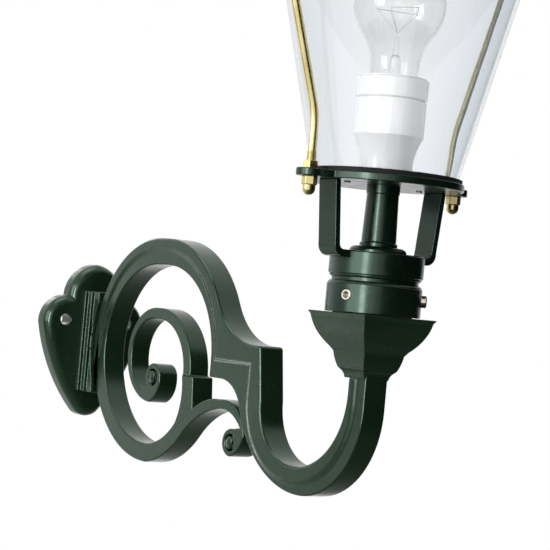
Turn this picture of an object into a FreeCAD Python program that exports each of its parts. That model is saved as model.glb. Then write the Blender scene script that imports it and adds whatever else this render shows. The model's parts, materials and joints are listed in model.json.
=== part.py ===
"""Wall lantern on a scrolled cast arm, with a cone glass, brass tie rods and a spun hood.

Frame: X runs from the wall to the lantern, Y along the wall, Z up. The origin lies on the
wall, midway between the two wall screws. Every size is in millimetres.
"""
import FreeCAD, Part
import Sketcher
import math
import os
from types import SimpleNamespace

# ---------------------------------------------------------------- driving sizes
DRIVING = (
    ("plate_thick", 15.0, "wall plate: thickness"),
    ("plate_half_width", 45.0, "wall plate: middle to the side lobe"),
    ("plate_rise", 45.0, "wall plate: screw line to the top lobe"),
    ("plate_drop", 75.5, "wall plate: screw line to the bottom"),
    ("lobe_half_width", 24.5, "wall plate: middle to the notch beside the top lobe"),
    ("notch_rise", 19.0, "wall plate: screw line to the notch"),
    ("plate_round", 7.0, "wall plate: rounding of the front edge"),
    ("screw_spacing", 56.0, "wall screws: centre to centre"),
    ("screw_hole", 9.0, "wall screws: hole diameter"),
    ("foot_depth", 15.0, "arm foot: plate to the ring's back"),
    ("foot_high", 79.0, "arm foot: height"),
    ("foot_half_width", 15.0, "arm foot: half width of the widest rib"),
    ("foot_groove", 3.0, "arm foot: depth of the grooves between its ribs"),
    ("arm_thick", 20.7, "arm: thickness across the raised faces"),
    ("face_step", 1.2, "arm: height of the raised band on each face"),
    ("ring_drop", 15.7, "ring: screw line down to its centre"),
    ("ring_radius", 84.0, "ring: outer radius"),
    ("ring_stretch", 10.0, "ring: straight run between its two halves"),
    ("band_top", 19.8, "ring: band width at the top"),
    ("band_bottom", 13.7, "ring: band width at the bottom"),
    ("band_root", 16.0, "ring: band width at the wall side"),
    ("band_front", 15.0, "ring: band width at the lantern side"),
    ("raised_band", 7.5, "ring: width of the raised outer band"),
    ("shelf_length", 46.0, "shelf: ring to the neck's inner corner"),
    ("shelf_rise", 12.7, "shelf: top above the ring's centre"),
    ("web_depth", 26.5, "web: shelf top to its underside"),
    ("flare_radius", 55.0, "ring to shelf: concave radius"),
    ("arch_radius", 28.5, "web to neck: arch radius"),
    ("neck_depth", 64.7, "neck: ring centre down to its inner bottom"),
    ("neck_slant", 6.0, "neck: lean of its inner wall under the shelf"),
    ("neck_back_radius", 40.0, "neck: inner radius on the wall side"),
    ("neck_front_radius", 54.0, "neck: inner radius on the lantern side"),
    ("neck_thick", 18.6, "neck: bar at the bottom"),
    ("neck_bar", 17.0, "neck: bar under the capital"),
    ("outer_back_radius", 80.0, "neck: outer radius on the wall side"),
    ("outer_front_radius", 63.0, "neck: outer radius on the lantern side"),
    ("axis_offset", 6.0, "neck: inner wall to the lantern's axis"),
    ("volute_thick", 16.5, "inner volute: thickness"),
    ("volute_eye", 10.3, "inner volute: radius of its rolled end"),
    ("curl_radius", 9.8, "lower scroll: radius of its curl"),
    ("curl_slot", 1.4, "rolled ends: width of the gap between turns"),
    ("capital_half", 30.0, "capital: half side at the top"),
    ("capital_waist", 18.6, "capital: half side at the tier line"),
    ("capital_foot", 10.35, "capital: half side at the arm"),
    ("capital_upper", 22.0, "capital: height of the upper tier"),
    ("capital_lower", 19.5, "capital: height of the lower tier"),
    ("spigot_radius", 26.0, "spigot: radius"),
    ("spigot_high", 16.5, "spigot: height"),
    ("spigot_groove", 3.5, "spigot: depth of the groove for the grub screws"),
    ("counterbore_depth", 11.5, "spigot: depth of the counterbore"),
    ("counterbore_radius", 11.5, "spigot: radius of the counterbore"),
    ("bolt_radius", 4.0, "spigot bolt: thread radius"),
    ("bolt_head", 7.5, "spigot bolt: head radius over its corners"),
    ("bolt_head_high", 5.3, "spigot bolt: head height"),
    ("bolt_reach", 20.0, "spigot bolt: depth in the capital"),
    ("turn_gap", 0.3, "gap between pieces that turn or lift on each other"),
    ("collar_radius", 31.0, "socket collar: outer radius"),
    ("collar_high", 19.0, "socket collar: height below the neck groove"),
    ("collar_neck", 5.6, "socket collar: height of the neck groove"),
    ("neck_cut", 2.8, "socket collar: depth of the neck groove"),
    ("grub_height", 11.4, "grub screws: height on the collar"),
    ("grub_radius", 4.0, "grub screws: thread radius"),
    ("grub_length", 8.0, "grub screws: length"),
    ("grub_out", 3.3, "grub screws: how far the backed-out one stands out"),
    ("grub_fit", 0.05, "grub screws: radial clearance in the thread"),
    ("head_high", 15.3, "upper ring: height"),
    ("head_radius", 30.8, "upper ring: outer radius"),
    ("yoke_width", 18.0, "yoke: width of the strap"),
    ("yoke_thick", 4.0, "yoke: thickness of the arms"),
    ("yoke_base", 4.6, "yoke: thickness of the cross strap"),
    ("yoke_half", 42.0, "yoke: half width over the arms at the bottom"),
    ("yoke_top_half", 45.8, "yoke: half width over the arms at the top"),
    ("boss_radius", 18.5, "boss: radius"),
    ("boss_high", 4.1, "boss: height"),
    ("column_radius", 12.3, "centre column: radius at the bottom"),
    ("column_top", 10.4, "centre column: radius under the disc"),
    ("column_high", 39.3, "centre column: height"),
    ("tie_radius", 5.0, "centre tie: thread radius"),
    ("tie_bore", 3.3, "centre tie: radius of the wire way"),
    ("tie_nut", 8.0, "centre tie: nut radius over its corners"),
    ("tie_nut_high", 4.9, "centre tie: nut height"),
    ("disc_radius", 51.7, "base disc: radius"),
    ("disc_thick", 4.8, "base disc: thickness"),
    ("ear_reach", 60.0, "base disc: axis to the rod holes"),
    ("ear_radius", 9.0, "base disc: radius of the ears"),
    ("holder_screw_reach", 30.0, "lampholder plate: axis to its screws"),
    ("glass_foot", 47.6, "glass: outer radius at the bottom"),
    ("glass_top", 95.5, "glass: outer radius at the top"),
    ("glass_high", 199.5, "glass: height"),
    ("glass_wall", 3.0, "glass: wall"),
    ("gasket_thick", 1.3, "glass gaskets: thickness under the glass"),
    ("rod_radius", 2.5, "tie rods: radius"),
    ("thread_radius", 2.2, "tie rods: radius of the lower thread"),
    ("rod_straight", 39.0, "tie rods: disc underside to the lower bend"),
    ("rod_drop", 20.4, "tie rods: hood's top down to the upper bend"),
    ("rod_inset", 12.0, "tie rods: hood's edge in to their upper ends"),
    ("rod_bend", 14.0, "tie rods: radius of the bends"),
    ("hex_nut", 5.1, "rod nuts: radius over the corners"),
    ("hex_nut_high", 4.9, "rod nuts: height of the plain nut"),
    ("acorn_high", 12.0, "rod nuts: height of the acorn nut"),
    ("holder_foot", 17.5, "lampholder: radius at the foot"),
    ("holder_radius", 23.0, "lampholder: body radius"),
    ("holder_body_high", 49.2, "lampholder: foot to the ring"),
    ("holder_ring_radius", 23.5, "lampholder ring: radius"),
    ("holder_ring_high", 14.3, "lampholder ring: height"),
    ("holder_plate", 2.0, "lampholder plate: thickness"),
    ("cap_radius", 13.0, "bulb cap: radius"),
    ("cap_high", 26.0, "bulb cap: height"),
    ("bulb_radius", 30.0, "bulb: largest radius"),
    ("bulb_neck", 15.8, "bulb: neck radius"),
    ("bulb_high", 94.0, "bulb: cap's top to the crown"),
    ("rim_width", 28.5, "hood: rim's width outside the glass's top"),
    ("hood_lip", 10.0, "hood: depth of the drip lip"),
    ("hood_wall", 2.5, "hood: sheet thickness"),
    ("hood_rise", 46.0, "hood: height of the bell"),
    ("vent_radius", 32.0, "hood: radius of the vent neck"),
    ("vent_high", 14.0, "hood: height of the vent neck"),
    ("vent_cap_radius", 43.0, "vent cap: radius"),
    ("vent_cap_high", 17.0, "vent cap: height"),
    ("finial_radius", 9.0, "finial: ball radius"),
    ("finial_high", 30.0, "finial: height"),
    ("stud_radius", 3.0, "hood stud: radius"),
)

GRUB_ANGLES = (-74.0, 49.0, 169.0)
BACKED_OUT = 1
HEX_SIDES = 6
FILAMENT_POSTS = 5
VENT_SLOTS = 10


class Dim(float):
    """A length that keeps the sheet formula it came from, so features can be bound to it."""

    def __new__(cls, value, formula):
        dim = super().__new__(cls, value)
        dim.formula = formula
        return dim

    def __add__(self, other):
        return Dim(float(self) + float(other), f"({self.formula} + {formula_of(other)})")

    def __radd__(self, other):
        return Dim(float(other) + float(self), f"({formula_of(other)} + {self.formula})")

    def __sub__(self, other):
        return Dim(float(self) - float(other), f"({self.formula} - {formula_of(other)})")

    def __rsub__(self, other):
        return Dim(float(other) - float(self), f"({formula_of(other)} - {self.formula})")

    def __mul__(self, other):
        return Dim(float(self) * float(other), f"({self.formula} * {formula_of(other)})")

    __rmul__ = __mul__

    def __truediv__(self, other):
        return Dim(float(self) / float(other), f"({self.formula} / {formula_of(other)})")

    def __neg__(self):
        return Dim(-float(self), f"(-{self.formula})")


def formula_of(value):
    return value.formula if isinstance(value, Dim) else f"({float(value):.6f})"


doc = FreeCAD.newDocument("WallLantern")
sheet = doc.addObject("Spreadsheet::Sheet", "Sizes")
for row, (alias, value, note) in enumerate(DRIVING, start=1):
    sheet.set(f"A{row}", note)
    sheet.set(f"B{row}", str(value))
    sheet.setAlias(f"B{row}", alias)
doc.recompute()
S = SimpleNamespace(**{alias: Dim(value, f"Sizes.{alias}") for alias, value, note in DRIVING})
NODES = {}


# ---------------------------------------------------------------- drawing helpers
def vector(point):
    return FreeCAD.Vector(float(point[0]), float(point[1]), 0.0)


def on_circle(centre, radius, degrees):
    angle = math.radians(degrees)
    return (centre[0] + radius * math.cos(angle), centre[1] + radius * math.sin(angle))


def line(x, y):
    return ("line", (x, y))


def arc(through, to):
    return ("arc", to, through)


def bow(x, y, height):
    """An arc to (x, y) that stands off its chord by height, to the left of the way there."""
    return ("bow", (x, y), height)


def edges_of(start, steps):
    """The edges of a closed outline, each with the two points that it joins."""
    here = start
    edges = []
    for step in steps:
        there = step[1]
        a, b = vector(here), vector(there)
        if step[0] == "line":
            edge = Part.LineSegment(a, b)
        elif step[0] == "arc":
            edge = Part.Arc(a, vector(step[2]), b)
        else:
            chord = b - a
            side = FreeCAD.Vector(-chord.y, chord.x, 0.0).normalize()
            edge = Part.Arc(a, (a + b) * 0.5 + side * float(step[2]), b)
        edges.append((edge, here, there))
        here = there
    if (vector(here) - vector(start)).Length > 1e-7:
        edges.append((Part.LineSegment(vector(here), vector(start)), here, start))
    return edges


def end_at(sketch, index, point):
    """Which end of a sketch edge lies at the point: 1 is its start and 2 its end."""
    gap = (sketch.getPoint(index, 1) - vector(point)).Length
    return 1 if gap < 1e-5 else 2


def draw_outline(sketch, start, steps):
    """Draws a closed outline and fixes each corner at its size from the sheet.

    In a sketch, edge -1 is the horizontal axis, whose point 1 is the origin, and -2 the
    vertical one.
    """
    drawn = [(sketch.addGeometry(edge, False), here, there)
             for edge, here, there in edges_of(start, steps)]
    constraints = []
    bound = {}
    for k, (index, here, there) in enumerate(drawn):
        after = drawn[(k + 1) % len(drawn)][0]
        constraints.append(Sketcher.Constraint(
            "Coincident", index, end_at(sketch, index, there), after, end_at(sketch, after, there)))
        end = end_at(sketch, index, here)
        for kind, along, value in (("DistanceX", -2, here[0]), ("DistanceY", -1, here[1])):
            if abs(value) < 1e-9:
                constraints.append(Sketcher.Constraint("PointOnObject", index, end, along))
                continue
            if isinstance(value, Dim):
                bound[len(constraints)] = value.formula
            constraints.append(Sketcher.Constraint(kind, -1, 1, index, end, float(value)))
    first = sketch.addConstraint(constraints)[0]
    for number, formula in bound.items():
        sketch.setExpression(f"Constraints[{first + number}]", formula)


def draw_circle(sketch, x, y, radius):
    circle = Part.Circle(vector((x, y)), FreeCAD.Vector(0, 0, 1), float(radius))
    index = sketch.addGeometry(circle, False)
    number = sketch.addConstraint(Sketcher.Constraint("Radius", index, float(radius)))
    if isinstance(radius, Dim):
        sketch.setExpression(f"Constraints[{number}]", radius.formula)


# ---------------------------------------------------------------- feature helpers
def bind(thing, name, value):
    setattr(thing, name, float(value))
    if isinstance(value, Dim):
        thing.setExpression(name, value.formula)


def place(thing, x=0.0, y=0.0, z=0.0, turn=0.0, tilt=0.0):
    """Turns the piece about Z after tilting it about Y, and sets it down at (x, y, z)."""
    spin = FreeCAD.Rotation(FreeCAD.Vector(0, 0, 1), turn)
    lean = FreeCAD.Rotation(FreeCAD.Vector(0, 1, 0), tilt)
    thing.Placement = FreeCAD.Placement(FreeCAD.Vector(float(x), float(y), float(z)), spin * lean)
    for axis, value in (("x", x), ("y", y), ("z", z)):
        if isinstance(value, Dim):
            thing.setExpression(f".Placement.Base.{axis}", value.formula)


def new_body(label):
    body = doc.addObject("PartDesign::Body", label)
    body.Label = label
    return body


def new_sketch(body, role, offset=0.0):
    sketch = body.newObject("Sketcher::SketchObject", f"{body.Name}_sketch")
    plane = next(f for f in body.Origin.OriginFeatures if f.Role == role)
    sketch.AttachmentSupport = [(plane, "")]
    sketch.MapMode = "FlatFace"
    if offset:
        sketch.AttachmentOffset.Base = FreeCAD.Vector(0, 0, float(offset))
        if isinstance(offset, Dim):
            sketch.setExpression(".AttachmentOffset.Base.z", offset.formula)
    return sketch


def pad(body, sketch, length, symmetric=False):
    feature = body.newObject("PartDesign::Pad", f"{body.Name}_pad")
    feature.Profile = sketch
    if symmetric:
        feature.SideType = "Symmetric"
    bind(feature, "Length", length)
    doc.recompute()
    return feature


def bore(body, sketch, length, symmetric=False, backwards=False):
    """A pocket, with a check that it really takes something away."""
    before = body.Shape.Volume
    feature = body.newObject("PartDesign::Pocket", f"{body.Name}_pocket")
    feature.Profile = sketch
    if symmetric:
        feature.SideType = "Symmetric"
    feature.Reversed = backwards
    bind(feature, "Length", length)
    doc.recompute()
    if body.Shape.Volume > before - 1e-3:
        raise RuntimeError(f"{body.Label}: a pocket removes nothing")
    return feature


def turned(label, start, steps):
    """A turned piece: the outline holds radii and heights, and goes round the Z axis."""
    body = new_body(label)
    sketch = new_sketch(body, "XZ_Plane")
    draw_outline(sketch, start, steps)
    feature = body.newObject("PartDesign::Revolution", f"{label}_turn")
    feature.Profile = sketch
    feature.ReferenceAxis = (sketch, ["V_Axis"])
    feature.Angle = 360.0
    doc.recompute()
    return body


def add_turned(body, start, steps):
    sketch = new_sketch(body, "XZ_Plane")
    draw_outline(sketch, start, steps)
    feature = body.newObject("PartDesign::Revolution", f"{body.Name}_more")
    feature.Profile = sketch
    feature.ReferenceAxis = (sketch, ["V_Axis"])
    feature.Angle = 360.0
    doc.recompute()
    return body


def node(label, thing):
    """Keeps an object as one of the pieces that are written out."""
    thing.Label = label
    NODES[label] = thing
    return thing


def pair(label, body):
    """The piece and its mirror image across the arm's middle plane, as one group."""
    other = doc.addObject("Part::Mirroring", f"{label}_other")
    other.Source = body
    other.Normal = FreeCAD.Vector(0, 1, 0)
    group = doc.addObject("Part::Compound", label)
    group.Links = [body, other]
    return node(label, group)


def hexagon(radius):
    """Start and steps of a hexagon with its corners at the radius."""
    corners = []
    for k in range(HEX_SIDES):
        angle = math.radians(k * 360.0 / HEX_SIDES)
        corners.append((radius * round(math.cos(angle), 9), radius * round(math.sin(angle), 9)))
    return corners[0], [line(*corner) for corner in corners[1:]]


def hex_nut(label, radius, high, hole):
    body = new_body(label)
    sketch = new_sketch(body, "XY_Plane")
    draw_outline(sketch, *hexagon(radius))
    draw_circle(sketch, 0, 0, hole)
    pad(body, sketch, high)
    return body


def acorn_nut(label, high, hole):
    """A hexagon with a domed blind cap on top; the thread's hole opens downwards."""
    body = new_body(label)
    sketch = new_sketch(body, "XY_Plane")
    draw_outline(sketch, *hexagon(S.hex_nut))
    pad(body, sketch, high * 0.45)
    dome = S.hex_nut * 0.8
    shoulder = high - dome
    add_turned(body, (0, high * 0.2), [line(dome, high * 0.2), line(dome, shoulder),
                                       arc(on_circle((0, shoulder), dome, 45), (0, high))])
    opening = new_sketch(body, "XY_Plane")
    draw_circle(opening, 0, 0, hole)
    bore(body, opening, high * 0.72, backwards=True)
    return body


# ---------------------------------------------------------------- heights and places
PLATE_FACE = S.plate_thick
RING_Z = -S.ring_drop
RING_LEFT = PLATE_FACE + S.foot_depth
RING_BACK_X = RING_LEFT + S.ring_radius
RING_FRONT_X = RING_BACK_X + S.ring_stretch
RING_RIGHT = RING_FRONT_X + S.ring_radius
RING_TOP = RING_Z + S.ring_radius
RING_BOTTOM = RING_Z - S.ring_radius
SHELF_Z = RING_Z + S.shelf_rise
WEB_Z = SHELF_Z - S.web_depth
CORNER_X = RING_RIGHT + S.shelf_length
NECK_LEFT = CORNER_X + S.neck_slant
NECK_MID = NECK_LEFT + S.neck_back_radius
NECK_RIGHT = NECK_MID + S.neck_front_radius
NECK_INNER_Z = RING_Z - S.neck_depth
NECK_OUTER_Z = NECK_INNER_Z - S.neck_thick
NECK_OUTER_RIGHT = NECK_RIGHT + S.neck_bar
NECK_OUTER_MID = NECK_OUTER_RIGHT - S.outer_front_radius
BACK_CENTRE = (NECK_OUTER_MID, NECK_OUTER_Z + S.outer_back_radius)
AXIS_X = NECK_RIGHT + S.axis_offset
CAPITAL_BOTTOM = RING_Z - 0.8
CAPITAL_TOP = CAPITAL_BOTTOM + S.capital_lower + S.capital_upper
HEAD_BOTTOM = CAPITAL_TOP + S.collar_high + S.collar_neck
HEAD_TOP = HEAD_BOTTOM + S.head_high
BOSS_TOP = HEAD_TOP + S.boss_high
DISC_BOTTOM = BOSS_TOP + S.column_high
DISC_TOP = DISC_BOTTOM + S.disc_thick
GLASS_BOTTOM = DISC_TOP + S.gasket_thick
GLASS_TOP = GLASS_BOTTOM + S.glass_high
HOOD_SEAT = GLASS_TOP + S.turn_gap
HOOD_FLANGE = HOOD_SEAT + S.gasket_thick * 2
HOOD_TOP = HOOD_FLANGE + S.hood_wall
CROWN_TOP = HOOD_TOP + S.hood_rise
HOOD_RADIUS = S.glass_top + S.rim_width
ROD_TOP_REACH = HOOD_RADIUS - S.rod_inset
VENT_TOP = CROWN_TOP + S.vent_high
HOLDER_BOTTOM = DISC_TOP + S.holder_plate
HOLDER_RING_Z = HOLDER_BOTTOM + S.holder_body_high
HOLDER_TOP = HOLDER_RING_Z + S.holder_ring_high
CAP_BOTTOM = HOLDER_TOP - 16.6 - S.cap_high
CAP_TOP = CAP_BOTTOM + S.cap_high


# ---------------------------------------------------------------- the arm on the wall
def wall_plate():
    """Three-lobed shield with a rounded front edge and two screw holes."""
    body = new_body("wall_plate")
    sketch = new_sketch(body, "YZ_Plane")
    shoulder_y = S.plate_half_width
    shoulder_z = -3.0
    tip_y, tip_z = 9.0, 3.0 - S.plate_drop
    draw_outline(sketch, (-tip_y, tip_z), [
        bow(tip_y, tip_z, -3.0),
        bow(shoulder_y, shoulder_z, -5.5),
        bow(S.lobe_half_width, S.notch_rise, -6.3),
        bow(0.0, S.plate_rise, -6.8),
        bow(-S.lobe_half_width, S.notch_rise, -6.8),
        bow(-shoulder_y, shoulder_z, -6.3),
        bow(-tip_y, tip_z, -5.5)])
    plate = pad(body, sketch, S.plate_thick)
    rounding = body.newObject("PartDesign::Fillet", "wall_plate_round")
    front = [f"Edge{k}" for k, edge in enumerate(plate.Shape.Edges, start=1)
             if edge.BoundBox.XMin > S.plate_thick - 0.01]
    rounding.Base = (plate, front)
    bind(rounding, "Radius", S.plate_round)
    doc.recompute()
    holes = new_sketch(body, "YZ_Plane")
    for side in (-1, 1):
        draw_circle(holes, side * float(S.screw_spacing) / 2, 0.0, S.screw_hole / 2)
    bore(body, holes, S.plate_thick, backwards=True)
    return node("wall_plate", body)


def ring_prism(name, radius, thick):
    """The filled outer shape of the ring, used to cut what it passes through."""
    body = new_body(name)
    sketch = new_sketch(body, "XZ_Plane")
    back, front = (RING_BACK_X, RING_Z), (RING_FRONT_X, RING_Z)
    draw_outline(sketch, (RING_BACK_X, RING_Z - radius), [
        line(RING_FRONT_X, RING_Z - radius),
        arc(on_circle(front, radius, 0), (RING_FRONT_X, RING_Z + radius)),
        line(RING_BACK_X, RING_Z + radius),
        arc(on_circle(back, radius, 180), (RING_BACK_X, RING_Z - radius))])
    pad(body, sketch, thick, symmetric=True)
    return body


def arm_foot():
    """Ribbed foot between the plate and the ring, cut to the ring's back."""
    body = new_body("arm_foot_block")
    sketch = new_sketch(body, "XY_Plane")
    wide = S.foot_half_width
    ribs = ((0.0, 4.5, 0.0), (7.5, 12.0, 1.0), (15.0, 21.0, 2.2))
    side = []
    for near, far, narrower in ribs:
        side += [(PLATE_FACE + near, wide - narrower), (PLATE_FACE + far, wide - narrower)]
        if far < ribs[-1][1]:
            following = ribs[[rib[1] for rib in ribs].index(far) + 1][0]
            depth = wide - narrower - S.foot_groove
            side += [(PLATE_FACE + far, depth), (PLATE_FACE + following, depth)]
    outline = side + [(x, -y) for x, y in reversed(side)]
    draw_outline(sketch, outline[0], [line(*corner) for corner in outline[1:]])
    pad(body, sketch, S.foot_high)
    place(body, z=RING_Z - S.foot_high / 2)
    cut = doc.addObject("Part::Cut", "arm_foot")
    cut.Base = body
    cut.Tool = ring_prism("arm_foot_saddle", S.ring_radius, S.foot_half_width * 2 + 2)
    return node("arm_foot", cut)


def flare_points():
    """Where the concave flare leaves the ring, its middle, and where it meets the shelf."""
    reach = float(S.ring_radius + S.flare_radius)
    rise = float(S.shelf_rise + S.flare_radius)
    run = math.sqrt(reach ** 2 - rise ** 2)
    centre = (RING_FRONT_X + run, SHELF_Z + S.flare_radius)
    share = float(S.ring_radius) / reach
    leave = (float(RING_FRONT_X) + run * share, float(RING_Z) + rise * share)
    start = math.degrees(math.atan2(leave[1] - centre[1], leave[0] - centre[0])) % 360
    return leave, on_circle(centre, S.flare_radius, (start + 270.0) / 2), (centre[0], SHELF_Z)


def arch_points():
    """Where the arch leaves the web, its middle, and where it meets the neck's outside."""
    reach = float(S.outer_back_radius + S.arch_radius)
    centre_z = float(WEB_Z - S.arch_radius)
    rise = float(BACK_CENTRE[1]) - centre_z
    run = math.sqrt(reach ** 2 - rise ** 2)
    centre = (float(BACK_CENTRE[0]) - run, centre_z)
    share = float(S.arch_radius) / reach
    meet = (centre[0] + run * share, centre[1] + rise * share)
    end = math.degrees(math.atan2(rise, run))
    return (centre[0], WEB_Z), on_circle(centre, S.arch_radius, (90.0 + end) / 2), meet


def arm_outline():
    """Outline of the ring, web and neck, which are one casting."""
    outer = float(S.ring_radius)
    back, front = (RING_BACK_X, RING_Z), (RING_FRONT_X, RING_Z)
    leave, flare, shelf = flare_points()
    web, arch, meet = arch_points()
    leave_angle = math.degrees(math.atan2(leave[1] - front[1], leave[0] - front[0]))
    meet_angle = math.degrees(math.atan2(meet[1] - BACK_CENTRE[1], meet[0] - BACK_CENTRE[0])) % 360
    hollow_high = (2 * outer - float(S.band_top + S.band_bottom)) / 2
    hollow_z = RING_TOP - S.band_top - hollow_high
    hollow_left = RING_LEFT + S.band_root
    hollow_right = RING_RIGHT - S.band_front
    hollow_back = (hollow_left + hollow_high, hollow_z)
    hollow_front = (hollow_right - hollow_high, hollow_z)
    back_inner = (NECK_MID, NECK_INNER_Z + S.neck_back_radius)
    front_inner = (NECK_MID, NECK_INNER_Z + S.neck_front_radius)
    front_outer = (NECK_OUTER_MID, NECK_OUTER_Z + S.outer_front_radius)
    steps = [
        line(RING_BACK_X, RING_BOTTOM),
        arc(on_circle(back, outer, 180), (RING_BACK_X, RING_TOP)),
        line(RING_FRONT_X, RING_TOP),
        arc(on_circle(front, outer, (90 + leave_angle) / 2), leave),
        arc(flare, shelf),
        line(CORNER_X, SHELF_Z),
        line(NECK_LEFT, back_inner[1]),
        arc(on_circle(back_inner, S.neck_back_radius, 225), (NECK_MID, NECK_INNER_Z)),
        arc(on_circle(front_inner, S.neck_front_radius, 315), (NECK_RIGHT, front_inner[1])),
        line(NECK_RIGHT, CAPITAL_BOTTOM),
        line(NECK_OUTER_RIGHT, CAPITAL_BOTTOM),
        line(NECK_OUTER_RIGHT, front_outer[1]),
        arc(on_circle(front_outer, S.outer_front_radius, 315), (NECK_OUTER_MID, NECK_OUTER_Z)),
        arc(on_circle(BACK_CENTRE, S.outer_back_radius, (270 + meet_angle) / 2), meet),
        arc(arch, web),
        line(hollow_right, WEB_Z),
        line(hollow_right, hollow_z),
        arc(on_circle(hollow_front, hollow_high, 45), (hollow_front[0], hollow_z + hollow_high)),
        line(hollow_back[0], hollow_z + hollow_high),
        arc(on_circle(hollow_back, hollow_high, 180), (hollow_back[0], hollow_z - hollow_high)),
        line(BAND_END, RING_BOTTOM + S.band_bottom),
        line(BAND_END, RING_BOTTOM)]
    return (BAND_END, RING_BOTTOM), steps


BAND_END = RING_BACK_X + 3.0


def recess_outline():
    """The lower field of both faces. Outside it the raised band stays: the ring's outer
    side, the shelf and the neck's inner side. It reaches past the casting all round."""
    inner = S.ring_radius - S.raised_band
    back, front = (RING_BACK_X, RING_Z), (RING_FRONT_X, RING_Z)
    step_z = NECK_INNER_Z - S.neck_thick / 2
    step_left = NECK_LEFT - 15.0
    step_right = NECK_RIGHT + S.neck_bar * 0.36
    back_radius = S.neck_back_radius + 11.0
    front_radius = S.neck_front_radius + 4.0
    back_step = (step_left + back_radius, step_z + back_radius)
    front_step = (step_right - front_radius, step_z + front_radius)
    beyond = on_circle(back, S.ring_radius + 8.0, 207)
    start = (RING_BACK_X - inner, RING_Z)
    steps = [
        arc(on_circle(back, inner, 135), (RING_BACK_X, RING_Z + inner)),
        line(RING_FRONT_X, RING_Z + inner),
        arc(on_circle(front, inner, 45), (RING_FRONT_X + inner, RING_Z)),
        line(step_left, RING_Z),
        line(step_left, back_step[1]),
        arc(on_circle(back_step, back_radius, 225), (back_step[0], step_z)),
        line(front_step[0], step_z),
        arc(on_circle(front_step, front_radius, 315), (step_right, front_step[1])),
        line(step_right, CAPITAL_BOTTOM + 2.0),
        line(NECK_OUTER_RIGHT + 2.0, CAPITAL_BOTTOM + 2.0),
        line(NECK_OUTER_RIGHT + 2.0, NECK_OUTER_Z - 2.0),
        line(beyond[0], NECK_OUTER_Z - 2.0),
        line(*beyond)]
    return start, steps


def scroll_arm():
    """The ring, web and neck casting, with its raised band standing out on both faces."""
    body = new_body("scroll_arm")
    whole = new_sketch(body, "XZ_Plane")
    draw_outline(whole, *arm_outline())
    pad(body, whole, S.arm_thick, symmetric=True)
    field = S.arm_thick / 2 - S.face_step
    for side, backwards in ((1, True), (-1, False)):
        recess = new_sketch(body, "XZ_Plane", field * side)
        draw_outline(recess, *recess_outline())
        bore(body, recess, S.face_step + 1.0, backwards=backwards)
    return node("scroll_arm", body)


SEAM_Z = RING_BOTTOM + 68.7
SEAM_LEFT = RING_BACK_X + 43.2
SEAM_RIGHT = RING_BACK_X + 53.2


def slotted_eye(body, centre, radius, thick, first, last):
    """Cuts the gap between the turns of a rolled end: a slot round its inner part."""
    inner = radius * 0.46
    outer = inner + S.curl_slot
    middle = (first + last) / 2
    sketch = new_sketch(body, "XZ_Plane")
    draw_outline(sketch, on_circle(centre, inner, first), [
        arc(on_circle(centre, inner, middle), on_circle(centre, inner, last)),
        line(*on_circle(centre, outer, last)),
        arc(on_circle(centre, outer, middle), on_circle(centre, outer, first))])
    bore(body, sketch, thick + 2, symmetric=True)


def lower_scroll():
    """The strap that leaves the ring's bottom, carries the volute and curls under the web."""
    body = new_body("lower_scroll_strap")
    thick = S.arm_thick - 2 * S.face_step
    root_x, root_z = RING_BACK_X, RING_BOTTOM
    reach = S.outer_back_radius
    curl = on_circle(BACK_CENTRE, reach + 18.19, 213.37)
    sketch = new_sketch(body, "XZ_Plane")
    draw_outline(sketch, (BAND_END, root_z), [
        bow(root_x + 49.0, root_z + 24.7, -4.5),
        bow(*on_circle(BACK_CENTRE, reach + 26.01, 197.68), 4.2),
        bow(*on_circle(BACK_CENTRE, reach + 3.69, 211.32), 4.3),
        bow(*on_circle(curl, S.curl_radius, 75), -0.8),
        arc(on_circle(curl, S.curl_radius, 170), on_circle(curl, S.curl_radius, 270)),
        bow(*on_circle(BACK_CENTRE, reach + 1.61, 216.03), -3.4),
        bow(*on_circle(BACK_CENTRE, reach + 23.15, 194.2), -8.2),
        bow(root_x + 61.0, root_z + 45.7, -3.0),
        line(SEAM_RIGHT + 5.0, SEAM_Z),
        line(SEAM_LEFT, SEAM_Z),
        bow(root_x + 39.0, root_z + 33.0, 3.6),
        bow(BAND_END, root_z + S.band_bottom, 3.7)])
    pad(body, sketch, thick, symmetric=True)
    slotted_eye(body, curl, S.curl_radius, thick, 60.0, 320.0)
    clear = doc.addObject("Part::Cylinder", "lower_scroll_clearance")
    bind(clear, "Radius", S.outer_back_radius + 0.2)
    bind(clear, "Height", S.arm_thick + 4)
    clear.Placement = FreeCAD.Placement(
        FreeCAD.Vector(float(BACK_CENTRE[0]), float(S.arm_thick) / 2 + 2, float(BACK_CENTRE[1])),
        FreeCAD.Rotation(FreeCAD.Vector(1, 0, 0), 90))
    cut = doc.addObject("Part::Cut", "lower_scroll")
    cut.Base = body
    cut.Tool = clear
    return node("lower_scroll", cut)


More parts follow.
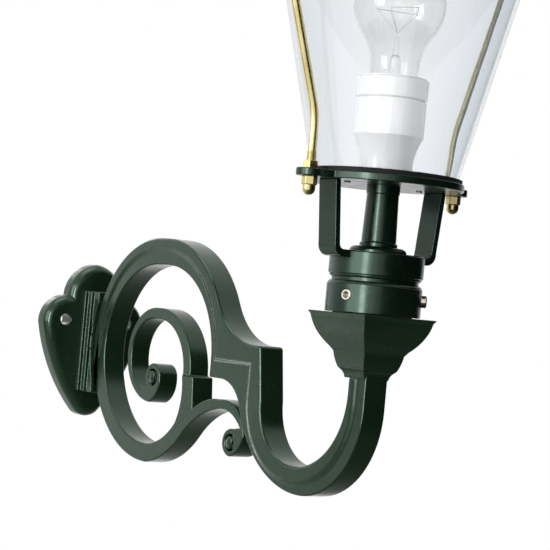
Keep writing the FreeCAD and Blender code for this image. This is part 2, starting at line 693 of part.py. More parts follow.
def inner_volute():
    """The thinner strap inside the ring, which ends in a rolled eye."""
    body = new_body("inner_volute")
    root_x, root_z = RING_BACK_X, RING_BOTTOM
    eye = (root_x + 2.5, root_z + 63.7)
    radius = S.volute_eye
    outer_top = SEAM_Z + 47.0
    sketch = new_sketch(body, "XZ_Plane")
    big = (SEAM_RIGHT - 47.0, SEAM_Z)
    draw_outline(sketch, (SEAM_RIGHT, SEAM_Z), [
        arc(on_circle(big, 47.0, 45), (big[0], outer_top)),
        line(root_x, outer_top),
        arc(on_circle((root_x, outer_top - 35.5), 35.5, 180), (root_x, outer_top - 71.0)),
        bow(eye[0] + radius, eye[1], -4.2),
        arc(on_circle(eye, radius, 90), on_circle(eye, radius, 219)),
        bow(root_x - 14.0, root_z + 53.6, -1.0),
        arc((root_x - 29.5, root_z + 79.7), (root_x, root_z + 108.0)),
        line(root_x + 5.0, root_z + 107.4),
        bow(SEAM_LEFT, SEAM_Z, 11.3)])
    pad(body, sketch, S.volute_thick, symmetric=True)
    slotted_eye(body, eye, radius, S.volute_thick, 250.0, 500.0)
    return node("inner_volute", body)


def capital():
    """Square two-tier capital, flared on all four sides, with a threaded hole on top."""
    def tiers(name, role):
        body = new_body(name)
        sketch = new_sketch(body, role)
        high, low = S.capital_lower + S.capital_upper, S.capital_lower
        tier, foot, top = S.capital_waist, S.capital_foot, S.capital_half
        draw_outline(sketch, (foot, 0.0), [
            bow(foot + 3.3, 6.0, 0.8),
            bow(tier - 2.1, low - 3.0, -0.4),
            line(tier, low),
            bow(top - 1.5, high - 2.5, -1.6),
            line(top, high),
            line(-top, high),
            line(-(top - 1.5), high - 2.5),
            bow(-tier, low, -1.6),
            line(-(tier - 2.1), low - 3.0),
            bow(-(foot + 3.3), 6.0, -0.4),
            bow(-foot, 0.0, 0.8)])
        pad(body, sketch, S.capital_half * 2, symmetric=True)
        return body
    common = doc.addObject("Part::Common", "capital_block")
    common.Base = tiers("capital_front", "XZ_Plane")
    common.Tool = tiers("capital_side", "YZ_Plane")
    drill = doc.addObject("Part::Cylinder", "capital_drill")
    bind(drill, "Radius", S.bolt_radius)
    bind(drill, "Height", S.bolt_reach + 1.0)
    place(drill, z=S.capital_lower + S.capital_upper - S.bolt_reach - 1.0)
    cut = doc.addObject("Part::Cut", "capital")
    cut.Base = common
    cut.Tool = drill
    place(cut, AXIS_X, 0.0, CAPITAL_BOTTOM)
    return node("capital", cut)


def spigot():
    """Round tenon on the capital, grooved for the grub screws and counterbored for its bolt."""
    radius, high = S.spigot_radius, S.spigot_high
    groove_low = S.grub_height - S.grub_radius - 0.6
    floor = radius - S.spigot_groove
    body = turned("spigot", (S.bolt_radius + 0.2, 0.0), [
        line(radius, 0.0),
        line(radius, groove_low - 0.8),
        line(floor, groove_low),
        line(floor, high - 0.4),
        line(floor - 0.4, high),
        line(S.counterbore_radius, high),
        line(S.counterbore_radius, high - S.counterbore_depth),
        line(S.bolt_radius + 0.2, high - S.counterbore_depth)])
    place(body, AXIS_X, 0.0, CAPITAL_TOP)
    return node("spigot", body)


def spigot_bolt():
    """Hexagon bolt that holds the spigot on the capital."""
    body = new_body("spigot_bolt")
    head = new_sketch(body, "XY_Plane")
    draw_outline(head, *hexagon(S.bolt_head))
    pad(body, head, S.bolt_head_high)
    seat = S.spigot_high - S.counterbore_depth
    length = seat + S.bolt_reach
    shank = S.bolt_radius - 0.05
    add_turned(body, (0.0, -length), [line(shank - 0.8, -length), line(shank, -length + 0.8),
                                      line(shank, 1.0), line(0.0, 1.0)])
    place(body, AXIS_X, 0.0, CAPITAL_TOP + seat)
    return node("spigot_bolt", body)


# ---------------------------------------------------------------- the lantern's stem
def socket_collar():
    """Cup that drops over the spigot, with three tapped holes and a turned neck."""
    radius, wall = S.collar_radius, S.spigot_radius + S.turn_gap
    high, total = S.collar_high, S.collar_high + S.collar_neck
    waist = radius - S.neck_cut
    ceiling = S.spigot_high + 1.5
    body = turned("socket_collar", (wall, S.turn_gap), [
        line(radius - 0.6, S.turn_gap),
        line(radius, S.turn_gap + 0.6),
        line(radius, high - 0.5),
        bow(radius - 0.5, high, 0.15),
        bow(waist, high + 2.0, -0.5),
        line(waist, total - 1.6),
        bow(waist + 1.6, total, -0.5),
        line(S.tie_radius + 0.05, total),
        line(S.tie_radius + 0.05, ceiling),
        line(wall, ceiling)])
    holes = doc.addObject("Part::Compound", "collar_drills")
    drills = []
    for k, angle in enumerate(GRUB_ANGLES):
        drill = doc.addObject("Part::Cylinder", f"collar_drill_{k + 1}")
        bind(drill, "Radius", S.grub_radius + S.grub_fit)
        bind(drill, "Height", S.collar_radius)
        reach = float(S.spigot_radius) - float(S.spigot_groove)
        place(drill, reach * math.cos(math.radians(angle)), reach * math.sin(math.radians(angle)),
              S.grub_height, turn=angle, tilt=90.0)
        drills.append(drill)
    holes.Links = drills
    cut = doc.addObject("Part::Cut", "socket_collar_cut")
    cut.Base = body
    cut.Tool = holes
    body.Label = "socket_collar_blank"
    place(cut, AXIS_X, 0.0, CAPITAL_TOP)
    return node("socket_collar", cut)


def grub_screw(number, angle):
    """Flat-tipped set screw with a hexagon socket; its Z axis points out of the collar."""
    radius, length = S.grub_radius, S.grub_length
    out = S.grub_out if number == BACKED_OUT + 1 else 0.0
    body = turned(f"grub_screw_{number}", (0.0, 0.0), [
        line(radius - 1.0, 0.0),
        line(radius, 1.0),
        line(radius, length - 0.6),
        line(radius - 0.6, length),
        line(0.0, length)])
    socket = new_sketch(body, "XY_Plane", length - 3.0)
    draw_outline(socket, *hexagon(S.grub_radius * 0.57))
    bore(body, socket, 3.0, backwards=True)
    reach = float(S.collar_radius - length + out)
    place(body, AXIS_X + reach * math.cos(math.radians(angle)),
          reach * math.sin(math.radians(angle)), CAPITAL_TOP + S.grub_height,
          turn=angle, tilt=90.0)
    return node(f"grub_screw_{number}", body)


def upper_ring():
    """Ring above the neck, slotted across for the yoke's strap."""
    hole = S.tie_radius + 0.05
    radius, high = S.head_radius, S.head_high
    body = turned("upper_ring", (hole, 0.0), [
        line(radius - 0.9, 0.0),
        bow(radius, 0.9, 0.25),
        line(radius, high - 0.9),
        bow(radius - 0.9, high, 0.25),
        line(hole, high)])
    slot = new_sketch(body, "YZ_Plane")
    far = radius + 1.0
    draw_outline(slot, (-far, high - S.yoke_base), [
        line(far, high - S.yoke_base), line(far, high + 1.0), line(-far, high + 1.0)])
    bore(body, slot, S.yoke_width + 0.2, symmetric=True)
    place(body, AXIS_X, 0.0, HEAD_BOTTOM)
    return node("upper_ring", body)


def yoke():
    """Flat strap bent to a U: it crosses the upper ring and carries the disc's ears."""
    body = new_body("yoke")
    sketch = new_sketch(body, "YZ_Plane")
    low, thick = S.yoke_base, S.yoke_thick
    rise = S.boss_high + S.column_high + low
    half, top = S.yoke_half, S.yoke_top_half
    corner, inner = 7.0, 3.5
    draw_outline(sketch, (-(half - corner), 0.0), [
        line(half - corner, 0.0),
        bow(half, corner + 1.0, -2.3),
        line(top, rise),
        line(top - thick, rise),
        line(half - thick, low + inner),
        bow(half - thick - inner, low, 1.0),
        line(-(half - thick - inner), low),
        bow(-(half - thick), low + inner, 1.0),
        line(-(top - thick), rise),
        line(-top, rise),
        line(-half, corner + 1.0),
        bow(-(half - corner), 0.0, -2.3)])
    pad(body, sketch, S.yoke_width, symmetric=True)
    hole = new_sketch(body, "XY_Plane")
    draw_circle(hole, 0, 0, S.tie_radius + 0.05)
    bore(body, hole, low, backwards=True)
    place(body, AXIS_X, 0.0, HEAD_TOP - low)
    return node("yoke", body)


def boss():
    """Domed washer that clamps the yoke."""
    hole, radius, high = S.tie_radius + 0.05, S.boss_radius, S.boss_high
    body = turned("boss", (hole, 0.0), [
        line(radius, 0.0),
        line(radius, high * 0.4),
        bow(radius - 4.0, high, -0.7),
        line(hole, high)])
    place(body, AXIS_X, 0.0, BOSS_TOP - high)
    return node("boss", body)


def centre_column():
    """Tapered turned column with a bead under the disc."""
    hole, foot, top, high = S.tie_radius + 0.05, S.column_radius, S.column_top, S.column_high
    body = turned("centre_column", (hole, 0.0), [
        line(foot, 0.0),
        line(foot, 2.2),
        bow(foot - 1.0, 4.0, 0.4),
        line(top, high - 6.0),
        bow(top + 0.5, high - 4.8, 0.15),
        line(top + 0.5, high),
        line(hole, high)])
    place(body, AXIS_X, 0.0, BOSS_TOP)
    return node("centre_column", body)


def centre_tie():
    """Hollow threaded rod from the collar to the lampholder, which clamps the stem."""
    start = CAPITAL_TOP + S.spigot_high + 1.5 - S.tie_nut_high - 1.0
    length = DISC_TOP + S.holder_plate + S.tie_nut_high + 1.0 - start
    radius, way = S.tie_radius, S.tie_bore
    body = turned("centre_tie", (way, 0.0), [
        line(radius - 0.7, 0.0), line(radius, 0.7), line(radius, length - 0.7),
        line(radius - 0.7, length), line(way, length)])
    place(body, AXIS_X, 0.0, start)
    return node("centre_tie", body)


def tie_nut(label, z):
    body = hex_nut(label, S.tie_nut, S.tie_nut_high, S.tie_radius + 0.02)
    place(body, AXIS_X, 0.0, z)
    return node(label, body)


def base_disc():
    """Disc under the glass, with an ear on each side for the tie rods."""
    body = new_body("base_disc")
    sketch = new_sketch(body, "XY_Plane")
    radius, ear, reach = float(S.disc_radius), float(S.ear_radius), float(S.ear_reach)
    root = ear + 3.5
    waist = math.sqrt(radius ** 2 - root ** 2)
    steps = []
    corner = (-root, waist)
    for turn in (1, -1):
        start, finish = (-turn * root, turn * waist), (turn * root, turn * waist)
        steps += [
            bow(-turn * ear, turn * reach, 0.6),
            arc((0.0, turn * (reach + ear)), (turn * ear, turn * reach)),
            bow(finish[0], finish[1], 0.6),
            arc((turn * radius, 0.0), (-start[0], -start[1]))]
    draw_outline(sketch, corner, steps)
    pad(body, sketch, S.disc_thick)
    holes = new_sketch(body, "XY_Plane")
    draw_circle(holes, 0, 0, S.tie_radius + 0.05)
    for side in (-1, 1):
        draw_circle(holes, 0, side * reach, S.thread_radius + 0.1)
        draw_circle(holes, 0, side * float(S.holder_screw_reach), 2.1)
    bore(body, holes, S.disc_thick, backwards=True)
    place(body, AXIS_X, 0.0, DISC_BOTTOM)
    return node("base_disc", body)


# ---------------------------------------------------------------- glass and tie rods
def glass_gasket():
    """Ring on the disc with a low lip round the glass."""
    seat = S.gasket_thick
    glass = S.glass_foot
    body = turned("glass_gasket", (glass - 6.0, 0.0), [
        line(glass + 2.6, 0.0),
        line(glass + 2.6, seat + 1.4),
        line(glass + 1.0, seat + 1.8),
        line(glass + 0.3, seat),
        line(glass - 6.0, seat)])
    place(body, AXIS_X, 0.0, DISC_TOP)
    return node("glass_gasket", body)


def glass_cone():
    """Clear cone glass, open at both ends."""
    foot, top, wall, high = S.glass_foot, S.glass_top, S.glass_wall, S.glass_high
    body = turned("glass_cone", (foot - wall, 0.0), [
        line(foot, 0.0),
        line(top, high - 0.8),
        line(top - 0.8, high),
        line(top - wall + 0.4, high),
        line(top - wall, high - 0.8)])
    place(body, AXIS_X, 0.0, GLASS_BOTTOM)
    return node("glass_cone", body)


def rod_path(start_z, end_z):
    """Spine of a tie rod: straight, bent outwards, and bent straight again at the hood."""
    low = FreeCAD.Vector(0, float(S.ear_reach), float(DISC_BOTTOM + S.rod_straight))
    high = FreeCAD.Vector(0, float(ROD_TOP_REACH), float(HOOD_TOP - S.rod_drop))
    start = FreeCAD.Vector(0, low.y, float(start_z))
    end = FreeCAD.Vector(0, high.y, float(end_z))
    lean = math.atan2(high.y - low.y, high.z - low.z)
    cut = float(S.rod_bend) * math.tan(lean / 2)
    slant = (high - low).normalize()
    edges = [Part.LineSegment(start, low - FreeCAD.Vector(0, 0, cut)).toShape()]
    edges.append(bend(low, FreeCAD.Vector(0, 0, 1), slant, cut))
    edges.append(Part.LineSegment(low + slant * cut, high - slant * cut).toShape())
    edges.append(bend(high, slant, FreeCAD.Vector(0, 0, 1), cut))
    edges.append(Part.LineSegment(high + FreeCAD.Vector(0, 0, cut), end).toShape())
    return Part.Wire(edges)


def bend(corner, before, after, cut):
    """Tangent arc round a corner, which it leaves out by the cut on each side."""
    a, b = corner - before * cut, corner + after * cut
    inward = (after - before).normalize()
    half = math.acos(max(-1.0, min(1.0, before.dot(after)))) / 2
    radius = cut / math.tan(half)
    middle = corner + inward * (radius / math.cos(half) - radius)
    return Part.Arc(a, middle, b).toShape()


def tie_rods():
    """One brass rod on each side, thinner where its lower end is threaded."""
    thread_end = DISC_TOP + 17.0
    spine = doc.addObject("Part::Feature", "rod_spine")
    spine.Shape = rod_path(thread_end, HOOD_TOP + S.acorn_high * 0.72 - 0.5)
    section = doc.addObject("Part::Circle", "rod_section")
    bind(section, "Radius", S.rod_radius)
    place(section, 0.0, S.ear_reach, thread_end)
    sweep = doc.addObject("Part::Sweep", "rod_sweep")
    sweep.Sections = [section]
    sweep.Spine = (spine, [f"Edge{k}" for k in range(1, len(spine.Shape.Edges) + 1)])
    sweep.Solid = True
    thread = doc.addObject("Part::Cylinder", "rod_thread")
    bind(thread, "Radius", S.thread_radius)
    start = DISC_BOTTOM - S.acorn_high * 0.72 + 0.5
    bind(thread, "Height", thread_end - start)
    place(thread, 0.0, S.ear_reach, start)
    far = doc.addObject("Part::Fuse", "rod_far")
    far.Base = sweep
    far.Tool = thread
    place(far, AXIS_X, 0.0, 0.0)
    near = doc.addObject("Part::Mirroring", "rod_near")
    near.Source = far
    near.Normal = FreeCAD.Vector(0, 1, 0)
    return node("tie_rod_far", far), node("tie_rod_near", near)


def rod_nuts():
    """Plain nuts on the ears and acorn nuts under them."""
    plain = hex_nut("rod_nut", S.hex_nut, S.hex_nut_high, S.thread_radius + 0.02)
    place(plain, AXIS_X, S.ear_reach, DISC_TOP)
    pair("rod_hex_nuts", plain)
    acorn = acorn_nut("rod_acorn", S.acorn_high, S.thread_radius + 0.02)
    acorn.Placement = FreeCAD.Placement(
        FreeCAD.Vector(float(AXIS_X), float(S.ear_reach), float(DISC_BOTTOM)),
        FreeCAD.Rotation(FreeCAD.Vector(1, 0, 0), 180))
    pair("rod_acorn_nuts", acorn)


# ---------------------------------------------------------------- lampholder and bulb
def holder_plate():
    """Steel strap that carries the lampholder, screwed to the disc at both ends."""
    body = new_body("holder_plate")
    sketch = new_sketch(body, "XY_Plane")
    reach, half = S.holder_screw_reach, 8.0
    draw_outline(sketch, (half, -reach), [
        line(half, reach),
        arc((0.0, reach + half), (-half, reach)),
        line(-half, -reach),
        arc((0.0, -(reach + half)), (half, -reach))])
    for side in (-1, 1):
        draw_circle(sketch, 0.0, side * float(reach), 2.1)
    draw_circle(sketch, 0.0, 0.0, S.tie_radius + 0.05)
    pad(body, sketch, S.holder_plate)
    place(body, AXIS_X, 0.0, DISC_TOP)
    return node("holder_plate", body)


def holder_screws():
    """Pan-head screws through the strap and the disc."""
    seat = S.disc_thick + S.holder_plate
    screw = turned("holder_screw", (0.0, -0.8), [
        line(2.0, -0.8),
        line(2.0, seat),
        line(3.6, seat),
        bow(2.2, seat + 2.2, -0.5),
        line(0.0, seat + 2.2)])
    place(screw, AXIS_X, S.holder_screw_reach, DISC_BOTTOM)
    return pair("holder_screws", screw)


def lampholder_body():
    """Glazed body: hollow below for the wires, with a deep socket above."""
    foot, body_r, high = S.holder_foot, S.holder_radius, S.holder_body_high
    socket = S.cap_radius + 1.5
    floor_low, floor_high = 10.0, 16.0
    neck = S.holder_ring_radius - 3.3
    mouth = S.bulb_neck + 1.2
    top = high + S.holder_ring_high - 3.0
    body = turned("lampholder_body", (foot - 4.0, 0.0), [
        line(foot, 0.0),
        line(foot, 4.0),
        bow(body_r, high * 0.52, 1.6),
        line(body_r, high - 0.8),
        bow(body_r - 0.8, high, 0.2),
        line(neck, high),
        line(neck, top),
        line(mouth, top),
        line(mouth, CAP_TOP - HOLDER_BOTTOM + 0.5),
        line(socket, CAP_TOP - HOLDER_BOTTOM + 0.5),
        line(socket, floor_high),
        line(2.2, floor_high),
        line(2.2, floor_low),
        line(foot - 4.0, floor_low)])
    place(body, AXIS_X, 0.0, HOLDER_BOTTOM)
    return node("lampholder_body", body)


def lampholder_ring():
    """Glazed ring screwed over the socket's mouth."""
    radius, high = S.holder_ring_radius, S.holder_ring_high
    inner = radius - 3.2
    mouth = S.bulb_neck + 1.2
    body = turned("lampholder_ring", (inner, 0.1), [
        line(radius - 0.7, 0.1),
        bow(radius, 0.8, 0.2),
        line(radius, high - 1.4),
        bow(radius - 1.4, high, 0.4),
        line(mouth + 0.6, high),
        bow(mouth, high - 0.6, 0.15),
        line(mouth, high - 2.9),
        line(inner, high - 2.9)])
    place(body, AXIS_X, 0.0, HOLDER_RING_Z)
    return node("lampholder_ring", body)


def screw_shell():
    """Brass shell in the socket that takes the bulb's cap."""
    inner, outer = S.cap_radius + 0.35, S.cap_radius + 1.3
    high = S.cap_high + 4.0
    body = turned("screw_shell", (inner, 0.0), [
        line(outer, 0.0), line(outer, high), line(inner, high)])
    place(body, AXIS_X, 0.0, HOLDER_BOTTOM + 17.0)
    return node("screw_shell", body)


def centre_contact():
    """Contact on the socket's floor with its rivet through the ceramic."""
    body = turned("centre_contact", (0.0, -6.8), [
        line(3.4, -6.8),
        line(3.4, -6.0),
        line(2.1, -6.0),
        line(2.1, 0.0),
        line(5.0, 0.0),
        line(5.0, 1.0),
        bow(0.5, CAP_BOTTOM - HOLDER_BOTTOM - 16.0 - 2.3, 0.3),
        line(0.0, CAP_BOTTOM - HOLDER_BOTTOM - 16.0 - 2.3)])
    place(body, AXIS_X, 0.0, HOLDER_BOTTOM + 16.0)
    return node("centre_contact", body)


def bulb_cap():
    """Screw cap of the bulb, with its thread as rounded ribs."""
    radius, high = S.cap_radius, S.cap_high
    ribs = 5
    pitch = (high - 7.0) / ribs
    steps = [line(radius - 3.0, 0.0), line(radius - 1.0, 3.0)]
    for k in range(ribs):
        low = 3.0 + pitch * k
        steps += [bow(radius, low + pitch / 2, -0.25), bow(radius - 1.0, low + pitch, -0.25)]
    steps += [line(radius - 1.0, high), line(radius - 2.0, high), line(radius - 2.0, 3.4),
              line(radius - 3.2, 0.8), line(4.0, 0.8)]
    body = turned("bulb_cap", (4.0, 0.0), steps)
    place(body, AXIS_X, 0.0, CAP_BOTTOM)
    return node("bulb_cap", body)


def bulb_contact():
    """Insulator and tip contact closing the cap's bottom."""
    body = turned("bulb_contact", (0.0, -2.0), [
        bow(4.0, -0.9, -0.3),
        line(4.0, 0.8),
        line(0.0, 0.8)])
    place(body, AXIS_X, 0.0, CAP_BOTTOM)
    return node("bulb_contact", body)


def bulb_glass():
    """Clear pear-shaped envelope, hollow, with its neck in the cap."""
    wall = 0.9
    neck, ball, high = S.bulb_neck, S.bulb_radius, S.bulb_high
    centre = high - ball
    foot = S.cap_radius - 0.2
    join = on_circle((0.0, centre), ball, -38.0)
    inner = ball - wall
    inner_join = on_circle((0.0, centre), inner, -38.0)
    body = turned("bulb_glass", (foot - wall, 0.2), [
        line(foot, 0.2),
        bow(neck, 21.7, 0.5),
        bow(join[0], join[1], 2.0),
        arc(on_circle((0.0, centre), ball, 20.0), (0.0, high)),
        line(0.0, high - wall),
        arc(on_circle((0.0, centre), inner, 20.0), inner_join),
        bow(neck - wall, 21.7, -2.0),
        bow(foot - wall, 0.2, -0.5)])
    place(body, AXIS_X, 0.0, CAP_TOP)
    return node("bulb_glass", body)


def bulb_stem():
    """Glass foot inside the neck, flared to the envelope and pressed at the top."""
    body = turned("bulb_stem", (0.0, 0.4), [
        line(S.cap_radius - 1.2, 0.4),
        line(S.cap_radius - 1.2, 1.2),
        bow(4.0, 8.0, 2.2),
        line(3.4, 28.0),
        bow(2.0, 31.0, -0.4),
        line(1.4, 42.8),
        line(0.8, 43.6),
        line(0.0, 43.6)])
    place(body, AXIS_X, 0.0, CAP_TOP)
    return node("bulb_stem", body)


def filament_point(k):
    """Top of the k-th filament post, measured from the cap's top on the bulb's axis."""
    angle = math.radians(-60.0 + 300.0 * k / (FILAMENT_POSTS - 1))
    reach = float(S.bulb_radius) * 0.5
    height = float(S.bulb_high - S.bulb_radius) - 4.0 + 2.0 * (k % 2)
    return FreeCAD.Vector(reach * math.cos(angle), reach * math.sin(angle), height)


def bulb_filament():
    """Support wires spread from the stem's top, with the filament strung round them."""
    wire, thin = 0.45, 0.35
    hub = FreeCAD.Vector(0, 0, 46.0)
    tops = [filament_point(k) for k in range(FILAMENT_POSTS)]
    solids = []
    for top in tops:
        reach = top - hub
        solids.append(Part.makeCylinder(wire, reach.Length, hub, reach))
        solids.append(Part.makeSphere(wire * 1.5, top))
    for a, b in zip(tops, tops[1:]):
        solids.append(Part.makeCylinder(thin, (b - a).Length, a, b - a))
    shape = solids[0].multiFuse(solids[1:] + [Part.makeSphere(2.2, hub)])
    thing = doc.addObject("Part::Feature", "bulb_filament")
    thing.Shape = shape.removeSplitter()
    place(thing, AXIS_X, 0.0, CAP_TOP)
    return node("bulb_filament", thing)


# ---------------------------------------------------------------- the hood
def hood_rim():
    """Flat spun rim with a drip lip outside and a locating lip inside the glass."""
    radius, wall, lip = HOOD_RADIUS, S.hood_wall, S.hood_lip
    inner = S.glass_top - S.glass_wall - 3.5
    body = turned("hood_rim_blank", (inner - wall, -7.0), [
        line(inner, -7.0),
        line(inner, 0.0),
        line(radius - wall, 0.0),
        line(radius - wall, -lip),
        line(radius, -lip),
        line(radius, wall - 1.5),
        bow(radius - 1.5, wall, -0.4),
        line(inner - wall, wall)])
    drills = []
    for side in (-1, 1):
        drill = doc.addObject("Part::Cylinder", f"hood_drill_{'near' if side < 0 else 'far'}")
        bind(drill, "Radius", S.rod_radius + 0.4)
        bind(drill, "Height", wall + 2.0)
        place(drill, 0.0, side * float(ROD_TOP_REACH), -1.0)
        drills.append(drill)
    tools = doc.addObject("Part::Compound", "hood_drills")
    tools.Links = drills
    cut = doc.addObject("Part::Cut", "hood_rim")
    cut.Base = body
    cut.Tool = tools
    place(cut, AXIS_X, 0.0, HOOD_FLANGE)
    return node("hood_rim", cut)


def hood_gasket():
    """Flat ring under the rim that presses on the glass."""
    glass, thick = S.glass_top, S.gasket_thick * 2
    body = turned("hood_gasket", (glass - S.glass_wall - 3.3, 0.0), [
        line(glass + 3.0, 0.0), line(glass + 3.0, thick),
        line(glass - S.glass_wall - 3.3, thick)])
    place(body, AXIS_X, 0.0, HOOD_SEAT)
    return node("hood_gasket", body)


def hood_crown():
    """Bell-shaped spun crown that stands on the rim."""
    foot = S.glass_top + 5.0
    wall, high, vent = S.hood_wall - 0.5, S.hood_rise, S.vent_radius
    body = turned("hood_crown", (foot - wall, 0.0), [
        line(foot, 0.0),
        line(foot, 3.0),
        bow(foot * 0.62, high * 0.42, -5.0),
        bow(vent + 4.0, high - wall, 4.0),
        line(vent - 6.0, high - wall),
        line(vent - 6.0, high - wall * 2),
        line(vent + 4.0 - wall, high - wall * 2),
        bow(foot * 0.62 - wall * 0.6, high * 0.42 - wall, -4.0),
        bow(foot - wall, 3.0 - wall * 0.5, 5.0)])
    place(body, AXIS_X, 0.0, HOOD_TOP)
    return node("hood_crown", body)


def vent_neck():
    """Slotted ring that lets the warm air out under the cap."""
    radius, high = S.vent_radius, S.vent_high + S.hood_wall - 0.5
    wall = 1.6
    body = turned("vent_neck", (radius - wall, 0.0), [
        line(radius, 0.0), line(radius, high), line(radius - wall, high)])
    slot = new_sketch(body, "YZ_Plane")
    draw_outline(slot, (-3.0, 4.0), [line(3.0, 4.0), line(3.0, high - 4.0), line(-3.0, high - 4.0)])
    pocket = bore(body, slot, radius + 2.0, backwards=True)
    pattern = body.newObject("PartDesign::PolarPattern", "vent_neck_slots")
    pattern.Originals = [pocket]
    pattern.Axis = (slot, ["V_Axis"])
    pattern.Angle = 360.0
    pattern.Occurrences = VENT_SLOTS
    body.Tip = pattern
    doc.recompute()
    place(body, AXIS_X, 0.0, CROWN_TOP - S.hood_wall + 0.5)
    return node("vent_neck", body)


def vent_cap():
    """Domed cap over the vent neck."""
    radius, high, wall = S.vent_cap_radius, S.vent_cap_high, S.hood_wall - 0.5
    hole = S.stud_radius + 0.05
    body = turned("vent_cap", (radius - wall, -5.0), [
        line(radius, -5.0),
        line(radius, 1.0),
        bow(radius * 0.32, high - 2.0, -5.0),
        line(radius * 0.26, high),
        line(hole, high),
        line(hole, high - wall),
        line(radius * 0.26 - wall, high - wall),
        bow(S.vent_radius - 2.0, 0.0, 3.5),
        line(radius - wall, 0.0)])
    place(body, AXIS_X, 0.0, VENT_TOP)
    return node("vent_cap", body)


def finial():
    """Turned ball finial, threaded on the stud."""
    ball, high = S.finial_radius, S.finial_high
    hole = S.stud_radius + 0.05
    centre = high - ball - 2.0
    top = on_circle((0.0, centre), ball, 70.0)
    foot = on_circle((0.0, centre), ball, -52.0)
    body = turned("finial", (hole, 0.0), [
        line(ball * 0.95, 0.0),
        line(ball * 0.95, 2.0),
        bow(foot[0], foot[1], 1.2),
        arc(on_circle((0.0, centre), ball, 10.0), top),
        bow(0.8, high, 0.6),
        line(0.0, high),
        line(0.0, high * 0.5),
        line(hole, high * 0.5)])
    place(body, AXIS_X, 0.0, VENT_TOP + S.vent_cap_high)
    return node("finial", body)


def hood_bridge():
    """Strap across the crown's inside that anchors the stud."""
    body = new_body("hood_bridge")
    sketch = new_sketch(body, "XY_Plane")
    reach, half = S.vent_radius + 1.0, 7.0
    draw_outline(sketch, (-reach, -half), [line(reach, -half), line(reach, half), line(-reach, half)])
    draw_circle(sketch, 0.0, 0.0, S.stud_radius + 0.05)
    pad(body, sketch, 2.0)
    place(body, AXIS_X, 0.0, CROWN_TOP - 2 * (S.hood_wall - 0.5) - 2.0)
    return node("hood_bridge", body)


def hood_stud():
    """Threaded stud from the bridge to the finial."""
    radius = S.stud_radius
    start = CROWN_TOP - 2 * (S.hood_wall - 0.5) - 8.0
    length = VENT_TOP + S.vent_cap_high + S.finial_high * 0.5 - 0.5 - start
    body = turned("hood_stud", (0.0, 0.0), [
        line(radius - 0.5, 0.0), line(radius, 0.5), line(radius, length), line(0.0, length)])
    place(body, AXIS_X, 0.0, start)
    return node("hood_stud", body)


def hood_stud_nut():
    """Nut under the bridge."""
    high = 4.0
    body = hex_nut("hood_stud_nut", S.stud_radius * 1.9, high, S.stud_radius + 0.02)
    place(body, AXIS_X, 0.0, CROWN_TOP - 2 * (S.hood_wall - 0.5) - 2.0 - high)
    return node("hood_stud_nut", body)


def hood_nut(label, side):
    """Acorn nut that holds the rim down on one tie rod."""
    body = acorn_nut(label, S.acorn_high, S.rod_radius + 0.05)
    place(body, AXIS_X, side * ROD_TOP_REACH, HOOD_TOP)
    return node(label, body)


# ---------------------------------------------------------------- build, check, write
def build_all():
    wall_plate()
    arm_foot()
    scroll_arm()
    lower_scroll()
    inner_volute()
    capital()
    spigot()
    spigot_bolt()
    socket_collar()
    for number, angle in enumerate(GRUB_ANGLES, start=1):
        grub_screw(number, angle)
    upper_ring()
    yoke()
    boss()
    centre_column()
    centre_tie()
    tie_nut("tie_nut_lower", CAPITAL_TOP + S.spigot_high + 1.5 - S.tie_nut_high)
    tie_nut("tie_nut_upper", DISC_TOP + S.holder_plate)
    base_disc()
    glass_gasket()
    glass_cone()
    tie_rods()
    rod_nuts()
    holder_plate()
    holder_screws()
    lampholder_body()
    lampholder_ring()
    screw_shell()
    centre_contact()
    bulb_cap()
    bulb_contact()
    bulb_glass()
    bulb_stem()
    bulb_filament()
    hood_rim()
    hood_gasket()
    hood_crown()
    vent_neck()
    vent_cap()
    finial()
    hood_bridge()
    hood_stud()
    hood_stud_nut()
    hood_nut("hood_nut_near", -1)
    hood_nut("hood_nut_far", 1)


def check_all():
    doc.recompute()
    for thing in doc.Objects:
        if "Invalid" in thing.State or "Error" in thing.State:
            raise RuntimeError(f"{thing.Label} failed: {thing.State}")
    for label, thing in NODES.items():
        if thing.Shape.isNull() or not thing.Shape.isValid() or not thing.Shape.Solids:
            raise RuntimeError(f"{label} has no valid solid")


def write_all():
    os.makedirs("parts", exist_ok=True)
    for label, thing in NODES.items():
        thing.Shape.exportStep(f"parts/{label}.step")
        box = thing.Shape.optimalBoundingBox(False)
        print(f"{label:18s} solids {len(thing.Shape.Solids)}  volume {thing.Shape.Volume:10.1f}"
              f"  X {box.XMin:7.1f} {box.XMax:7.1f}  Y {box.YMin:7.1f} {box.YMax:7.1f}"
              f"  Z {box.ZMin:7.1f} {box.ZMax:7.1f}")
    print("nodes:", len(NODES))


build_all()
check_all()
write_all()
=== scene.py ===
"""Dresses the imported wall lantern: a scrolled cast arm, turned stem, cone glass, brass and hood."""
import json
import math
from collections import namedtuple

import bmesh
import bpy
from mathutils import Matrix, Vector

